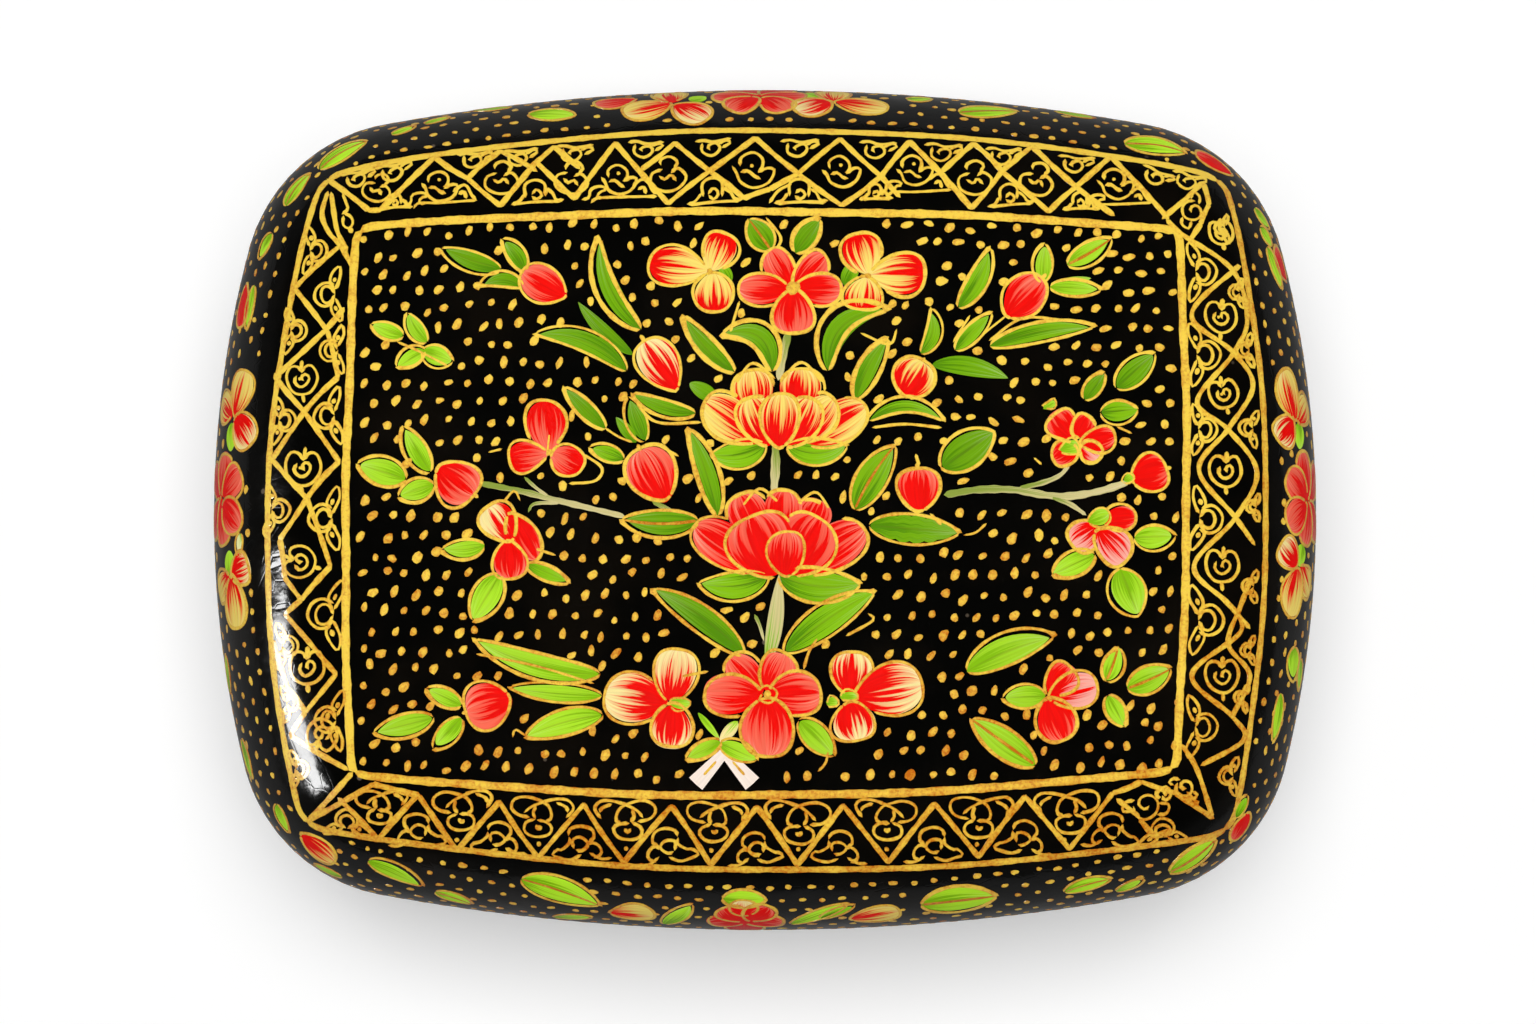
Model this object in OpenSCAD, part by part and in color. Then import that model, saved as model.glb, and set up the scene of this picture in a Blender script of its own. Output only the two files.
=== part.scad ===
// Kashmiri papier mache box with a lift-off lid.
//
// Three moulded paper pieces: a base shell with a flat foot, a collar strip
// glued inside its mouth, and a domed lid that drops over the collar.
// Both shells are lofts. Every ring of a loft is the same bowed, rounded
// outline, drawn in by some inset, so a wall keeps its thickness all round.
// Millimetres, +Z up, X along the box, origin under the middle of the foot.

/* [Outline] */
// Length of the box at its widest, along X
box_length = 130; // [122:1:140]
// Width of the box at its widest, along Y
box_width = 99.3; // [93:0.1:106]
// Bow radius of the two long sides
long_side_r = 249; // [200:1:320]
// Bow radius of the two short sides
short_side_r = 122; // [105:1:145]
// Radius of the four corners
corner_r = 20.5; // [18:0.5:25]

/* [Base] */
// Height of the base, from the foot to the mouth
base_height = 31; // [29.5:0.5:42]
// How far the wall draws in at the foot
foot_tuck = 9; // [7:0.5:11]
// Height over which the wall draws in to the foot
foot_rise = 19; // [15:0.5:20]
// Thickness of the floor
floor_t = 3.2; // [2.4:0.1:4.5]
// How much is rubbed off the curve of the foot to make it stand flat
foot_rubbed = 0.3; // [0.1:0.1:0.6]

/* [Lid] */
// Height of the lid, from its mouth to the middle of the crown
lid_height = 25; // [24:0.5:34]
// Radius of the rolled shoulder between the side and the crown
shoulder_r = 15; // [12:0.5:16]
// Rise of the crown in the middle of the lid
crown_rise = 2.4; // [1.6:0.1:3]

/* [Walls] */
// Thickness of the moulded walls
wall_t = 3; // [2.4:0.1:3.8]
// Eased edge round each mouth, outside
mouth_ease = 0.4; // [0.2:0.1:0.8]

/* [Collar] */
// Thickness of the collar strip
collar_t = 1.8; // [1.4:0.1:2.4]
// How far the collar reaches down inside the base
collar_depth = 10; // [8:0.5:12]
// How far the collar stands above the mouth of the base
collar_stand = 6; // [4:0.5:7]
// Gap between the standing collar and the lid, all round
lid_clearance = 0.35; // [0.25:0.05:0.5]
// Film of glue between the collar and the wall of the base
glue_film = 0.05; // [0.02:0.01:0.1]
// Chamfer that leads the lid on, round the top of the collar
collar_lead = 0.6; // [0.3:0.1:0.8]
// Gap of the butt joint where the two ends of the strip meet, at the back
butt_gap = 0.2; // [0.1:0.05:0.4]

/* [Fineness] */
// Facets along a quarter of the outline on a long side
long_side_steps = 6; // [4:1:8]
// Facets along a quarter of the outline on a short side
short_side_steps = 5; // [4:1:7]
// Facets round each corner
corner_steps = 11; // [8:1:13]
// Facets down the shoulder, and down the curve of the foot
roll_steps = 9; // [7:1:11]
// Rings between the shoulder and the middle of the crown
crown_steps = 4; // [3:1:5]

/* [Hidden] */

lacquer = [0.05, 0.045, 0.04];
raw_paper = [0.30, 0.22, 0.15];

half_length = box_length / 2;
half_width = box_width / 2;
outer_foot = [foot_tuck, foot_rise + foot_rubbed];
inner_foot = [foot_tuck - wall_t, foot_rise - floor_t];
foot_turn = acos(foot_rise / outer_foot.y);
box_height = base_height + lid_height;
shoulder_top = box_height - crown_rise;

// ---- The outline: three arcs a quarter, each tangent to the next -----------

long_side_centre = [0, half_width - long_side_r];
short_side_centre = [half_length - short_side_r, 0];

// The corner's centre lies at these distances from the two side centres.
to_long = long_side_r - corner_r;
to_short = short_side_r - corner_r;
between = short_side_centre - long_side_centre;
span = norm(between);
along = (to_long ^ 2 - to_short ^ 2 + span ^ 2) / (2 * span);
aside = sqrt(to_long ^ 2 - along ^ 2);
corner_centre = long_side_centre
    + along * between / span
    + aside * [between.y, -between.x] / span;

// Directions, from +X, in which the corner arc begins and ends.
corner_from = bearing(corner_centre - short_side_centre);
corner_to = bearing(corner_centre - long_side_centre);

// One place on the outline: the arc's centre, its radius and its direction.
function on_arc(centre, radius, direction) = [centre, radius, direction];

quarter = [
    for (i = [0:short_side_steps - 1])
        on_arc(short_side_centre, short_side_r, corner_from * i / short_side_steps),
    for (i = [0:corner_steps - 1])
        on_arc(corner_centre, corner_r,
               corner_from + (corner_to - corner_from) * i / corner_steps),
    for (i = [0:long_side_steps])
        on_arc(long_side_centre, long_side_r,
               corner_to + (90 - corner_to) * i / long_side_steps),
];

function heading(direction) = [cos(direction), sin(direction)];
function bearing(vector) = atan2(vector.y, vector.x);
function mirror_x(place) = [[-place[0].x, place[0].y], place[1], 180 - place[2]];
function mirror_y(place) = [[place[0].x, -place[0].y], place[1], -place[2]];
function reversed(list) = [for (i = [len(list) - 1:-1:0]) list[i]];

// The full outline, counter-clockwise from the middle of the front.
outline_places = let (n = len(quarter) - 1) [
    for (i = [n:-1:1]) mirror_y(quarter[i]),
    for (i = [0:n]) quarter[i],
    for (i = [n - 1:-1:0]) mirror_x(quarter[i]),
    for (i = [1:n - 1]) mirror_x(mirror_y(quarter[i])),
];

function inset_point(place, inset) = place[0] + (place[1] - inset) * heading(place[2]);
function outline(inset) = [for (p = outline_places) inset_point(p, inset)];
function raised(points, z) = [for (p = points) [p.x, p.y, z]];
function ring(inset, z) = raised(outline(inset), z);

// ---- Lofts -----------------------------------------------------------------

// Two rings of the same length, joined by triangles.
function band(first, second, count) = [
    for (i = [0:count - 1])
        let (j = (i + 1) % count)
        each [[first + i, second + j, first + j], [first + i, second + i, second + j]]
];

// A closed shell: from one middle point, out and down through the rings, and
// back to a second middle point.
module loft(start, rings, end) {
    count = len(rings[0]);
    last = 1 + (len(rings) - 1) * count;
    tip = 1 + len(rings) * count;
    polyhedron(
        points = [start, for (r = rings) each r, end],
        faces = [
            for (i = [0:count - 1]) [0, 1 + i, 1 + (i + 1) % count],
            for (k = [0:len(rings) - 2])
                each band(1 + k * count, 1 + (k + 1) * count, count),
            for (i = [0:count - 1]) [tip, last + (i + 1) % count, last + i],
        ]
    );
}

// A closed hoop: a section of [inset, height] corners carried round the outline.
module hoop(section) {
    count = len(outline_places);
    size = len(section);
    polyhedron(
        points = [for (s = section) each ring(s.x, s.y)],
        faces = [
            for (k = [0:size - 1])
                each band(k * count, ((k + 1) % size) * count, count)
        ]
    );
}

// ---- The base --------------------------------------------------------------

// Quarter ellipse of the foot: radii [across, up], from the floor to the wall.
function foot_ring(radii, turn) =
    ring(foot_tuck - radii.x * sin(turn), foot_rise - radii.y * cos(turn));

module base_shell() {
    inner_turns = [for (i = [0:roll_steps]) 90 * i / roll_steps];
    outer_turns = [for (i = [0:roll_steps]) 90 + (foot_turn - 90) * i / roll_steps];
    color(lacquer)
        loft(
            [0, 0, floor_t],
            [
                for (t = inner_turns) foot_ring(inner_foot, t),
                ring(wall_t, base_height),
                ring(mouth_ease, base_height),
                ring(0, base_height - mouth_ease),
                for (t = outer_turns) foot_ring(outer_foot, t),
            ],
            [0, 0, 0]
        );
}

// ---- The collar ------------------------------------------------------------

module base_collar() {
    glued = wall_t + glue_film;
    standing = wall_t + lid_clearance;
    inside = glued + collar_t;
    top = base_height + collar_stand;
    color(raw_paper)
        difference() {
            hoop([
                [glued, base_height - collar_depth],
                [glued, base_height],
                [standing, base_height],
                [standing, top - collar_lead],
                [standing + collar_lead, top],
                [inside, top],
                [inside, base_height - collar_depth],
            ]);
            translate([-butt_gap / 2, 0, 0])
                cube([butt_gap, box_width, box_height]);
        }
}

// ---- The lid ---------------------------------------------------------------

// The crown, added to the rolled shoulder and to the top inside it. It is
// highest in the middle of the box and falls to nothing at its sides.
function crown(p) =
    crown_rise * (1 - (p.x / half_length) ^ 2) * (1 - (p.y / half_width) ^ 2);
function crowned(points, z) = [for (p = points) [p.x, p.y, z + crown(p)]];

// Ring on the shoulder, this far round its roll: level at 0, upright at 90.
function shoulder_ring(radius, turn) =
    crowned(
        outline(shoulder_r - radius * sin(turn)),
        shoulder_top - shoulder_r + radius * cos(turn)
    );

// Ring on the top, at a share of the way from the middle to the shoulder.
function top_ring(radius, share) =
    crowned(share * outline(shoulder_r), shoulder_top - shoulder_r + radius);

module lid_shell() {
    inner_r = shoulder_r - wall_t;
    turns = [for (i = [0:roll_steps]) 90 * i / roll_steps];
    shares = [for (i = [1:crown_steps - 1]) i / crown_steps];
    color(lacquer)
        loft(
            [0, 0, box_height],
            [
                for (s = shares) top_ring(shoulder_r, s),
                for (t = turns) shoulder_ring(shoulder_r, t),
                ring(0, base_height + mouth_ease),
                ring(mouth_ease, base_height),
                ring(wall_t, base_height),
                for (t = reversed(turns)) shoulder_ring(inner_r, t),
                for (s = reversed(shares)) top_ring(inner_r, s),
            ],
            [0, 0, box_height - wall_t]
        );
}

base_shell();
base_collar();
lid_shell();
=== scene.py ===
"""Kashmiri papier mache box: its lacquered shells, painted flowers and gold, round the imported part.

Shapes are worked out in millimetres and put into the meshes in metres, in the frame's own axes.
Every painted mark is a low relief of paint on the lacquer. It is drawn in the flat coordinates of
one of three surfaces and then laid on it:

  lid top    x, y        the plan of the box
  lid side   s, up       s round the rim from the middle of the right side, up from the line where
                         the shoulder begins to roll, so negative numbers go down the side
  base side  s, up       the same s, up from the mouth of the base
"""

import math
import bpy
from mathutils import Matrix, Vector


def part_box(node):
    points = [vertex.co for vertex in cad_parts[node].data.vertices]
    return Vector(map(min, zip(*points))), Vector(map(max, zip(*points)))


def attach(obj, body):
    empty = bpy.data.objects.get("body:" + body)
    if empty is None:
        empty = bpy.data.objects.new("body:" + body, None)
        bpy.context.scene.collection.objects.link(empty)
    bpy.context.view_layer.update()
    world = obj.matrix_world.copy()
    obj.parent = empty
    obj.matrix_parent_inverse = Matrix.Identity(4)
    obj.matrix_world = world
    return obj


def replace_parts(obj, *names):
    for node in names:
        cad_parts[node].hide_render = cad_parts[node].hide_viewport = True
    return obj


bl_info = {
    "name": "Kashmiri Papier Mache Box",
    "version": (1, 0, 0),
    "blender": (4, 5, 0),
    "location": "3D View > Sidebar > Painted Box",
    "description": "Lacquered, flower-painted and gilded papier mache box with a lift-off lid",
    "category": "Add Mesh",
}

from functools import lru_cache

import bpy
import numpy as np
from bpy.props import FloatProperty, FloatVectorProperty, PointerProperty
from mathutils import Vector

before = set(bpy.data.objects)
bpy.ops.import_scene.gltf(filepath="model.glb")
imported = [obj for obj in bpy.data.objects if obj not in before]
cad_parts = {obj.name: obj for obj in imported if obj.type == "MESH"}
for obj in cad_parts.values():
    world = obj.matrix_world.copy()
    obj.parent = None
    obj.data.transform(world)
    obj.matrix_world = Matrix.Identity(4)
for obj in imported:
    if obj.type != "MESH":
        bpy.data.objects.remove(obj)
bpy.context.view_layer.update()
LID_LOW, LID_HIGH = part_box("lid_shell")
BASE_LOW, BASE_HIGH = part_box("base_shell")
COLLAR_LOW, COLLAR_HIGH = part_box("base_collar")

MM = 0.001


# ---- Settings -------------------------------------------------------------------------------

def length(name, description, millimetres):
    """A length property, given in millimetres and kept in metres."""
    return FloatProperty(name=name, description=description, default=millimetres * MM,
                         min=0.0, subtype="DISTANCE", unit="LENGTH", precision=5)


def paint_colour(name, description, red, green, blue):
    """A colour property, given as it looks on a screen (0 to 255) and kept linear."""
    return FloatVectorProperty(name=name, description=description, size=3, subtype="COLOR",
                               min=0.0, max=1.0, default=linear(red, green, blue))


def linear(red, green, blue):
    """Screen colour to linear light: the 2.4 power curve with its straight foot."""
    def one(value):
        v = value / 255
        return v / 12.92 if v <= 0.04045 else ((v + 0.055) / 1.055) ** 2.4
    return tuple(one(v) for v in (red, green, blue))


class BoxShape(bpy.types.PropertyGroup):
    """Sizes of the moulded shells"""

    long_side_r: length("Long side bow", "Bow radius of the two long sides", 249)
    short_side_r: length("Short side bow", "Bow radius of the two short sides", 122)
    corner_r: length("Corner", "Radius of the four corners", 20.5)
    shoulder_r: length("Shoulder", "Radius of the rolled shoulder of the lid", 15)
    crown_rise: length("Crown", "Rise of the crown in the middle of the lid", 2.4)
    wall_t: length("Wall", "Thickness of the moulded walls", 3)
    floor_t: length("Floor", "Thickness of the floor of the base", 3.2)
    mouth_ease: length("Mouth edge", "Eased edge round each mouth", 0.4)
    foot_tuck: length("Foot tuck", "How far the wall draws in at the foot", 9)
    foot_rise: length("Foot rise", "Height over which the wall draws in", 19)
    foot_rubbed: length("Foot rubbed", "How much is rubbed off under the foot", 0.3)
    collar_t: length("Collar", "Thickness of the collar strip", 1.8)
    butt_gap: length("Butt joint", "Gap between the two ends of the collar strip", 0.2)
    skin: length("Skin", "How far the lacquer lies inside the part's surface, to leave room "
                 "for the relief of the paint", 0.1)


class PaintSizes(bpy.types.PropertyGroup):
    """Sizes of the brush work"""

    inner_line: length("Inner frame line", "Width of the gold line round the field", 1.0)
    outer_line: length("Outer frame line", "Width of the gold line on the shoulder", 0.74)
    zigzag: length("Zigzag", "Width of the crossing gold lines of the border", 0.66)
    scroll: length("Scroll", "Width of the gold scrolls of the border", 0.36)
    outline: length("Outline", "Width of the gold line round a petal or a leaf", 0.42)
    dot_length: length("Dot length", "Length of a gold dot", 1.32)
    dot_width: length("Dot width", "Width of a gold dot", 1.0)
    dot_spacing: length("Dot spacing", "Distance between gold dots", 2.4)
    relief: length("Relief", "Height of one coat of paint over the lacquer", 0.014)


class PaintColours(bpy.types.PropertyGroup):
    """Colours of the finishes"""

    lacquer: paint_colour("Lacquer", "Black lacquer", 5, 5, 4)
    lacquer_worn: paint_colour("Thin lacquer", "Brown of the lacquer where it is thin", 26, 20, 13)
    gold: paint_colour("Gold", "Gold paint laid on thickly", 255, 216, 76)
    gold_thin: paint_colour("Thin gold", "Gold paint where it is thin", 204, 106, 0)
    red: paint_colour("Red", "Red of the petals", 246, 6, 0)
    coral: paint_colour("Coral", "Coral ground of the rosettes", 255, 108, 84)
    yellow: paint_colour("Yellow", "Yellow ground of the small flowers", 255, 226, 112)
    cream: paint_colour("Cream", "Cream ground of petals", 255, 234, 158)
    pink: paint_colour("Pink", "Pink at the tips of petals", 255, 176, 160)
    leaf_deep: paint_colour("Deep leaf", "Deep green of the long leaves", 114, 170, 6)
    leaf_mid: paint_colour("Leaf", "Green of most leaves", 134, 192, 12)
    leaf_lime: paint_colour("Lime leaf", "Lime of the small leaves", 172, 224, 40)
    leaf_shade: paint_colour("Leaf shade", "Darker green drawn along a leaf", 84, 142, 2)
    stem: paint_colour("Stem", "Grey-green of the stems", 212, 200, 136)
    stalk: paint_colour("Cut stalks", "Pinkish white of the cut stalks", 255, 238, 224)
    board: paint_colour("Board", "Brown paper board, where the paint is rubbed off", 92, 68, 46)
    collar: paint_colour("Collar paint", "Thin dull black paint on the collar", 46, 38, 33)


class StudioSettings(bpy.types.PropertyGroup):
    """Camera and light"""

    distance: length("Camera distance", "From the camera to the point it looks at", 501.6)
    tilt: FloatProperty(name="Camera tilt", description="Tilt from straight above, to the front",
                        default=math.radians(4.0), subtype="ANGLE", unit="ROTATION")
    lens: FloatProperty(name="Lens", description="Focal length of the camera, in millimetres",
                        default=100.0, min=20.0)
    window: FloatProperty(name="Window", description="Brightness of the soft box that shows "
                          "in the left shoulder", default=21.0, min=0.0)
    overhead: FloatProperty(name="Overhead", description="Brightness of the overhead soft box",
                            default=10.5, min=0.0)
    room: FloatProperty(name="Room", description="Brightness of the dark room above the box",
                        default=0.04, min=0.0)
    backdrop: FloatProperty(name="Backdrop", description="Brightness of the pale backdrop low "
                            "round the box", default=1.1, min=0.0)
    floor_glow: FloatProperty(name="Floor white", description="How much of the floor's white "
                              "stays in the shadow of the box", default=0.27, min=0.0)


# ---- The form of the box --------------------------------------------------------------------

class Form:
    """The box's surfaces, in millimetres, less the skin that the relief of the paint fills."""

    def __init__(self, shape):
        for name in BoxShape.__annotations__:
            setattr(self, name, getattr(shape, name) / MM)
        self.half_length, self.half_width = LID_HIGH.x / MM, LID_HIGH.y / MM
        self.height, self.mouth = LID_HIGH.z / MM, BASE_HIGH.z / MM
        self.shoulder_top = self.height - self.crown_rise
        self.side_length = self.shoulder_r * math.pi / 2 + (
            self.shoulder_top - self.shoulder_r - self.mouth)
        self._lay_out_rim()

    def _lay_out_rim(self):
        """Three arcs a quarter, each tangent to the next, gone round once from the right side."""
        ends = np.array([self.half_length - self.short_side_r, 0.0])
        sides = np.array([0.0, self.half_width - self.long_side_r])
        to_long, to_short = self.long_side_r - self.corner_r, self.short_side_r - self.corner_r
        between = ends - sides
        span = math.hypot(*between)
        along = (to_long ** 2 - to_short ** 2 + span ** 2) / (2 * span)
        aside = math.sqrt(to_long ** 2 - along ** 2)
        corner = sides + (along * between + aside * np.array([between[1], -between[0]])) / span
        first = math.atan2(*(corner - ends)[::-1])
        second = math.atan2(*(corner - sides)[::-1])
        pi = math.pi
        self.corner_from, self.corner_to, self.corner_at = first, second, corner
        self.end_at, self.side_at = ends, sides
        self.headings = np.array([0, first, second, pi - second, pi - first, pi + first,
                                  pi + second, 2 * pi - second, 2 * pi - first, 2 * pi])
        order = [0, 1, 2, 1, 0, 1, 2, 1, 0]
        flips = np.array([(1, 1), (1, 1), (1, 1), (-1, 1), (-1, 1), (-1, -1), (1, -1), (1, -1),
                          (1, 1)])
        self.arc_at = np.array([(ends, corner, sides)[k] for k in order]) * flips
        self.arc_r = np.array([(self.short_side_r, self.corner_r, self.long_side_r)[k]
                               for k in order])
        self.stations = np.concatenate([[0], np.cumsum(self.arc_r * np.diff(self.headings))])
        self.round = self.stations[-1]

    def rim(self, s, inset):
        """Plan point at s round the rim, drawn in by inset along the arc's own radius."""
        s = np.mod(s, self.round)
        turn = np.interp(s, self.stations, self.headings)
        k = np.clip(np.searchsorted(self.headings, turn, side="right") - 1, 0, 8)
        reach = self.arc_r[k] - inset
        return self.arc_at[k, 0] + reach * np.cos(turn), self.arc_at[k, 1] + reach * np.sin(turn)

    def inset_of(self, x, y):
        """How far a plan point lies inside the rim: its distance to the nearest of the arcs."""
        x, y = np.abs(x), np.abs(y)
        from_end = self.short_side_r - np.hypot(x - self.end_at[0], y - self.end_at[1])
        from_side = self.long_side_r - np.hypot(x - self.side_at[0], y - self.side_at[1])
        dx, dy = x - self.corner_at[0], y - self.corner_at[1]
        turn = np.arctan2(dy, dx)
        in_corner = (turn >= self.corner_from) & (turn <= self.corner_to)
        return np.where(in_corner, self.corner_r - np.hypot(dx, dy),
                        np.minimum(from_end, from_side))

    def crown(self, x, y):
        """Rise of the crown: highest in the middle and nothing at the sides."""
        return (self.crown_rise * (1 - (x / self.half_length) ** 2)
                * (1 - (y / self.half_width) ** 2))

    def lid_top(self, x, y):
        """Point over plan x, y: the flat top or the quarter round of the shoulder, plus crown."""
        radius = self.shoulder_r - self.skin
        reach = self.shoulder_r - np.clip(self.inset_of(x, y), 0.3, self.shoulder_r)
        z = self.shoulder_top - self.shoulder_r + np.sqrt(np.maximum(radius ** 2 - reach ** 2, 0))
        return np.stack([x, y, z + self.crown(x, y)], -1)

    def lid_side(self, s, up):
        """Point at s round the rim: a quarter round down the shoulder, then straight down."""
        down = np.maximum(-up, 0)
        radius = self.shoulder_r - self.skin
        turn = np.clip(down / self.shoulder_r, 0, math.pi / 2)
        x, y = self.rim(s, self.shoulder_r - radius * np.sin(turn))
        z = self.shoulder_top - self.shoulder_r + radius * np.cos(turn)
        z = z - np.maximum(down - self.shoulder_r * math.pi / 2, 0)
        return np.stack([x, y, z + self.crown(x, y)], -1)

    def base_side(self, s, up):
        """Point at s round the rim: straight down, then a quarter ellipse in to the foot."""
        down = np.maximum(-up, 0)
        straight = self.mouth - self.foot_rise
        rise = self.foot_rise + self.foot_rubbed
        curve = 0.75 * (rise + self.foot_tuck)  # about the length of the quarter ellipse
        turn = np.clip((down - straight) / curve, 0, 1) * math.pi / 2
        x, y = self.rim(s, self.foot_tuck - (self.foot_tuck - self.skin) * np.cos(turn))
        z = self.mouth - np.minimum(down, straight) - (rise - self.skin) * np.sin(turn)
        return np.stack([x, y, z + 0 * x], -1)


def form_of(context):
    """The box's surfaces as the scene's settings give them."""
    return Form(context.scene.box_shape)


# ---- Meshes ---------------------------------------------------------------------------------

def finished_mesh(name, points, faces, materials, face_slots=None, crease=50):
    """An object at the origin from points in millimetres; faces is a list of index arrays."""
    mesh = bpy.data.meshes.new(name)
    mesh.from_pydata((points * MM).tolist(), [], [f for block in faces for f in block.tolist()])
    for material in materials:
        mesh.materials.append(material)
    if face_slots is not None:
        mesh.polygons.foreach_set("material_index", face_slots.astype(np.int32))
    mesh.shade_smooth()
    mesh.set_sharp_from_angle(angle=math.radians(crease))
    if mesh.validate():
        raise RuntimeError(f"{name}: the mesh had faces that could not be used")
    thing = bpy.data.objects.new(name, mesh)
    bpy.context.scene.collection.objects.link(thing)
    return thing


def loft(name, start, rings, end, materials, slot_of_band):
    """A closed shell: from a middle point out through rings of equal length to another point.
    slot_of_band holds a material slot for the first fan, each band and the last fan."""
    rings = np.asarray(rings, float)
    bands, count = len(rings) - 1, rings.shape[1]
    points = np.concatenate([[start], rings.reshape(-1, 3), [end]])
    i = np.arange(count)
    j = (i + 1) % count
    k = np.arange(bands)[:, None] * count + 1
    quads = np.stack([k + i, k + count + i, k + count + j, k + j], -1).reshape(-1, 4)
    last = 1 + bands * count
    cap = np.stack([0 * i, 1 + i, 1 + j], -1)
    close = np.stack([0 * i + len(points) - 1, last + j, last + i], -1)
    return finished_mesh(name, points, [cap, quads, close], materials,
                         np.repeat(slot_of_band, count))


def steps(first, last, count):
    """Even steps from first to last, both of them included."""
    return np.linspace(first, last, count + 1)


BOW_STEP, CORNER_STEP = 1.5, 0.62  # between places round the rim


def shell_stations(form):
    """Places round the rim, closer together on the corners, which are every other arc."""
    parts = []
    for k, (a, b) in enumerate(zip(form.stations[:-1], form.stations[1:])):
        step = CORNER_STEP if k % 2 else BOW_STEP
        parts.append(np.linspace(a, b, max(2, int((b - a) / step)), endpoint=False))
    return np.concatenate(parts)


# ---- Paint ----------------------------------------------------------------------------------

# The looks that a mark carries to its finish, four numbers a point:
#   ground  the ground colour and, for a leaf, the strength of its dark rib
#   streak  the colour of the flame and how far it reaches along the mark
#   brush   place across and along the mark, a number of its own, and the lean of the flame
#   tone    for gold, the thickness of the paint with painted light mixed in, and a number of its own

# Corners of the cross-section of a line, and of a leaf or a petal, as shares of the half-width.
THIN = np.array([-1.0, -0.9, 0.0, 0.9, 1.0])
BROAD = np.array([-1.0, -0.95, -0.7, -0.36, 0.0, 0.36, 0.7, 0.95, 1.0])

# How many coats of paint high each kind of mark stands.
LEAF_COATS, STEM_COATS, PETAL_COATS, LEAF_LINE_COATS, GILT_COATS = 1.2, 0.9, 1.9, 3.4, 3.6
FRAME_COATS, ZIGZAG_COATS, SCROLL_COATS, DOT_COATS, EYE_COATS = 1.5, 1.8, 2.2, 1.5, 4.6
PETAL_LIFT = 0.24  # of each petal over the one before it
GOLD_LIFT = 1.3  # of a gold line over its petal
DOME = 0.25  # of the middle of a mark over its sides
SUNK = 0.05  # how deep the edges of a mark go into the lacquer
SPLINE_STEP, LINE_STEP = 0.3, 0.42
DOT_SIDES = 10
ANY_PHASE = 6.28  # waves of the hand start anywhere in one turn


@lru_cache(maxsize=None)
def stroke_faces(rows, ring):
    """Quads round a run of rings, and the fans that close it on a point at each end."""
    i, j = np.meshgrid(np.arange(rows - 1), np.arange(ring), indexing="ij")
    n = (j + 1) % ring
    quads = np.stack([i * ring + j, (i + 1) * ring + j, (i + 1) * ring + n, i * ring + n], -1)
    j = np.arange(ring)
    n = (j + 1) % ring
    first, last = rows * ring, rows * ring + 1
    fans = np.concatenate([
        np.stack([0 * j + first, j, n], -1),
        np.stack([0 * j + last, (rows - 1) * ring + n, (rows - 1) * ring + j], -1),
    ])
    return quads.reshape(-1, 4), fans


def spline(points):
    """Smooth curve through a few given points (Catmull-Rom), cut into short steps."""
    p = np.asarray(points, float)
    total = np.hypot(*np.diff(p, axis=0).T).sum()
    t = np.linspace(0, len(p) - 1, max(8, int(total / SPLINE_STEP)))
    k = np.minimum(t.astype(int), len(p) - 2)
    f = (t - k)[:, None]
    p = np.vstack([2 * p[0] - p[1], p, 2 * p[-1] - p[-2]])
    a, b, c, d = p[k], p[k + 1], p[k + 2], p[k + 3]
    return 0.5 * (2 * b + (c - a) * f + (2 * a - 5 * b + 4 * c - d) * f ** 2
                  + (3 * b - a - 3 * c + d) * f ** 3)


def left_of(path):
    """Unit vectors to the left of a path, square to its run."""
    run = np.gradient(path, axis=0)
    run /= np.maximum(np.hypot(run[:, 0], run[:, 1]), 1e-9)[:, None]
    return np.stack([-run[:, 1], run[:, 0]], -1)


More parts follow.
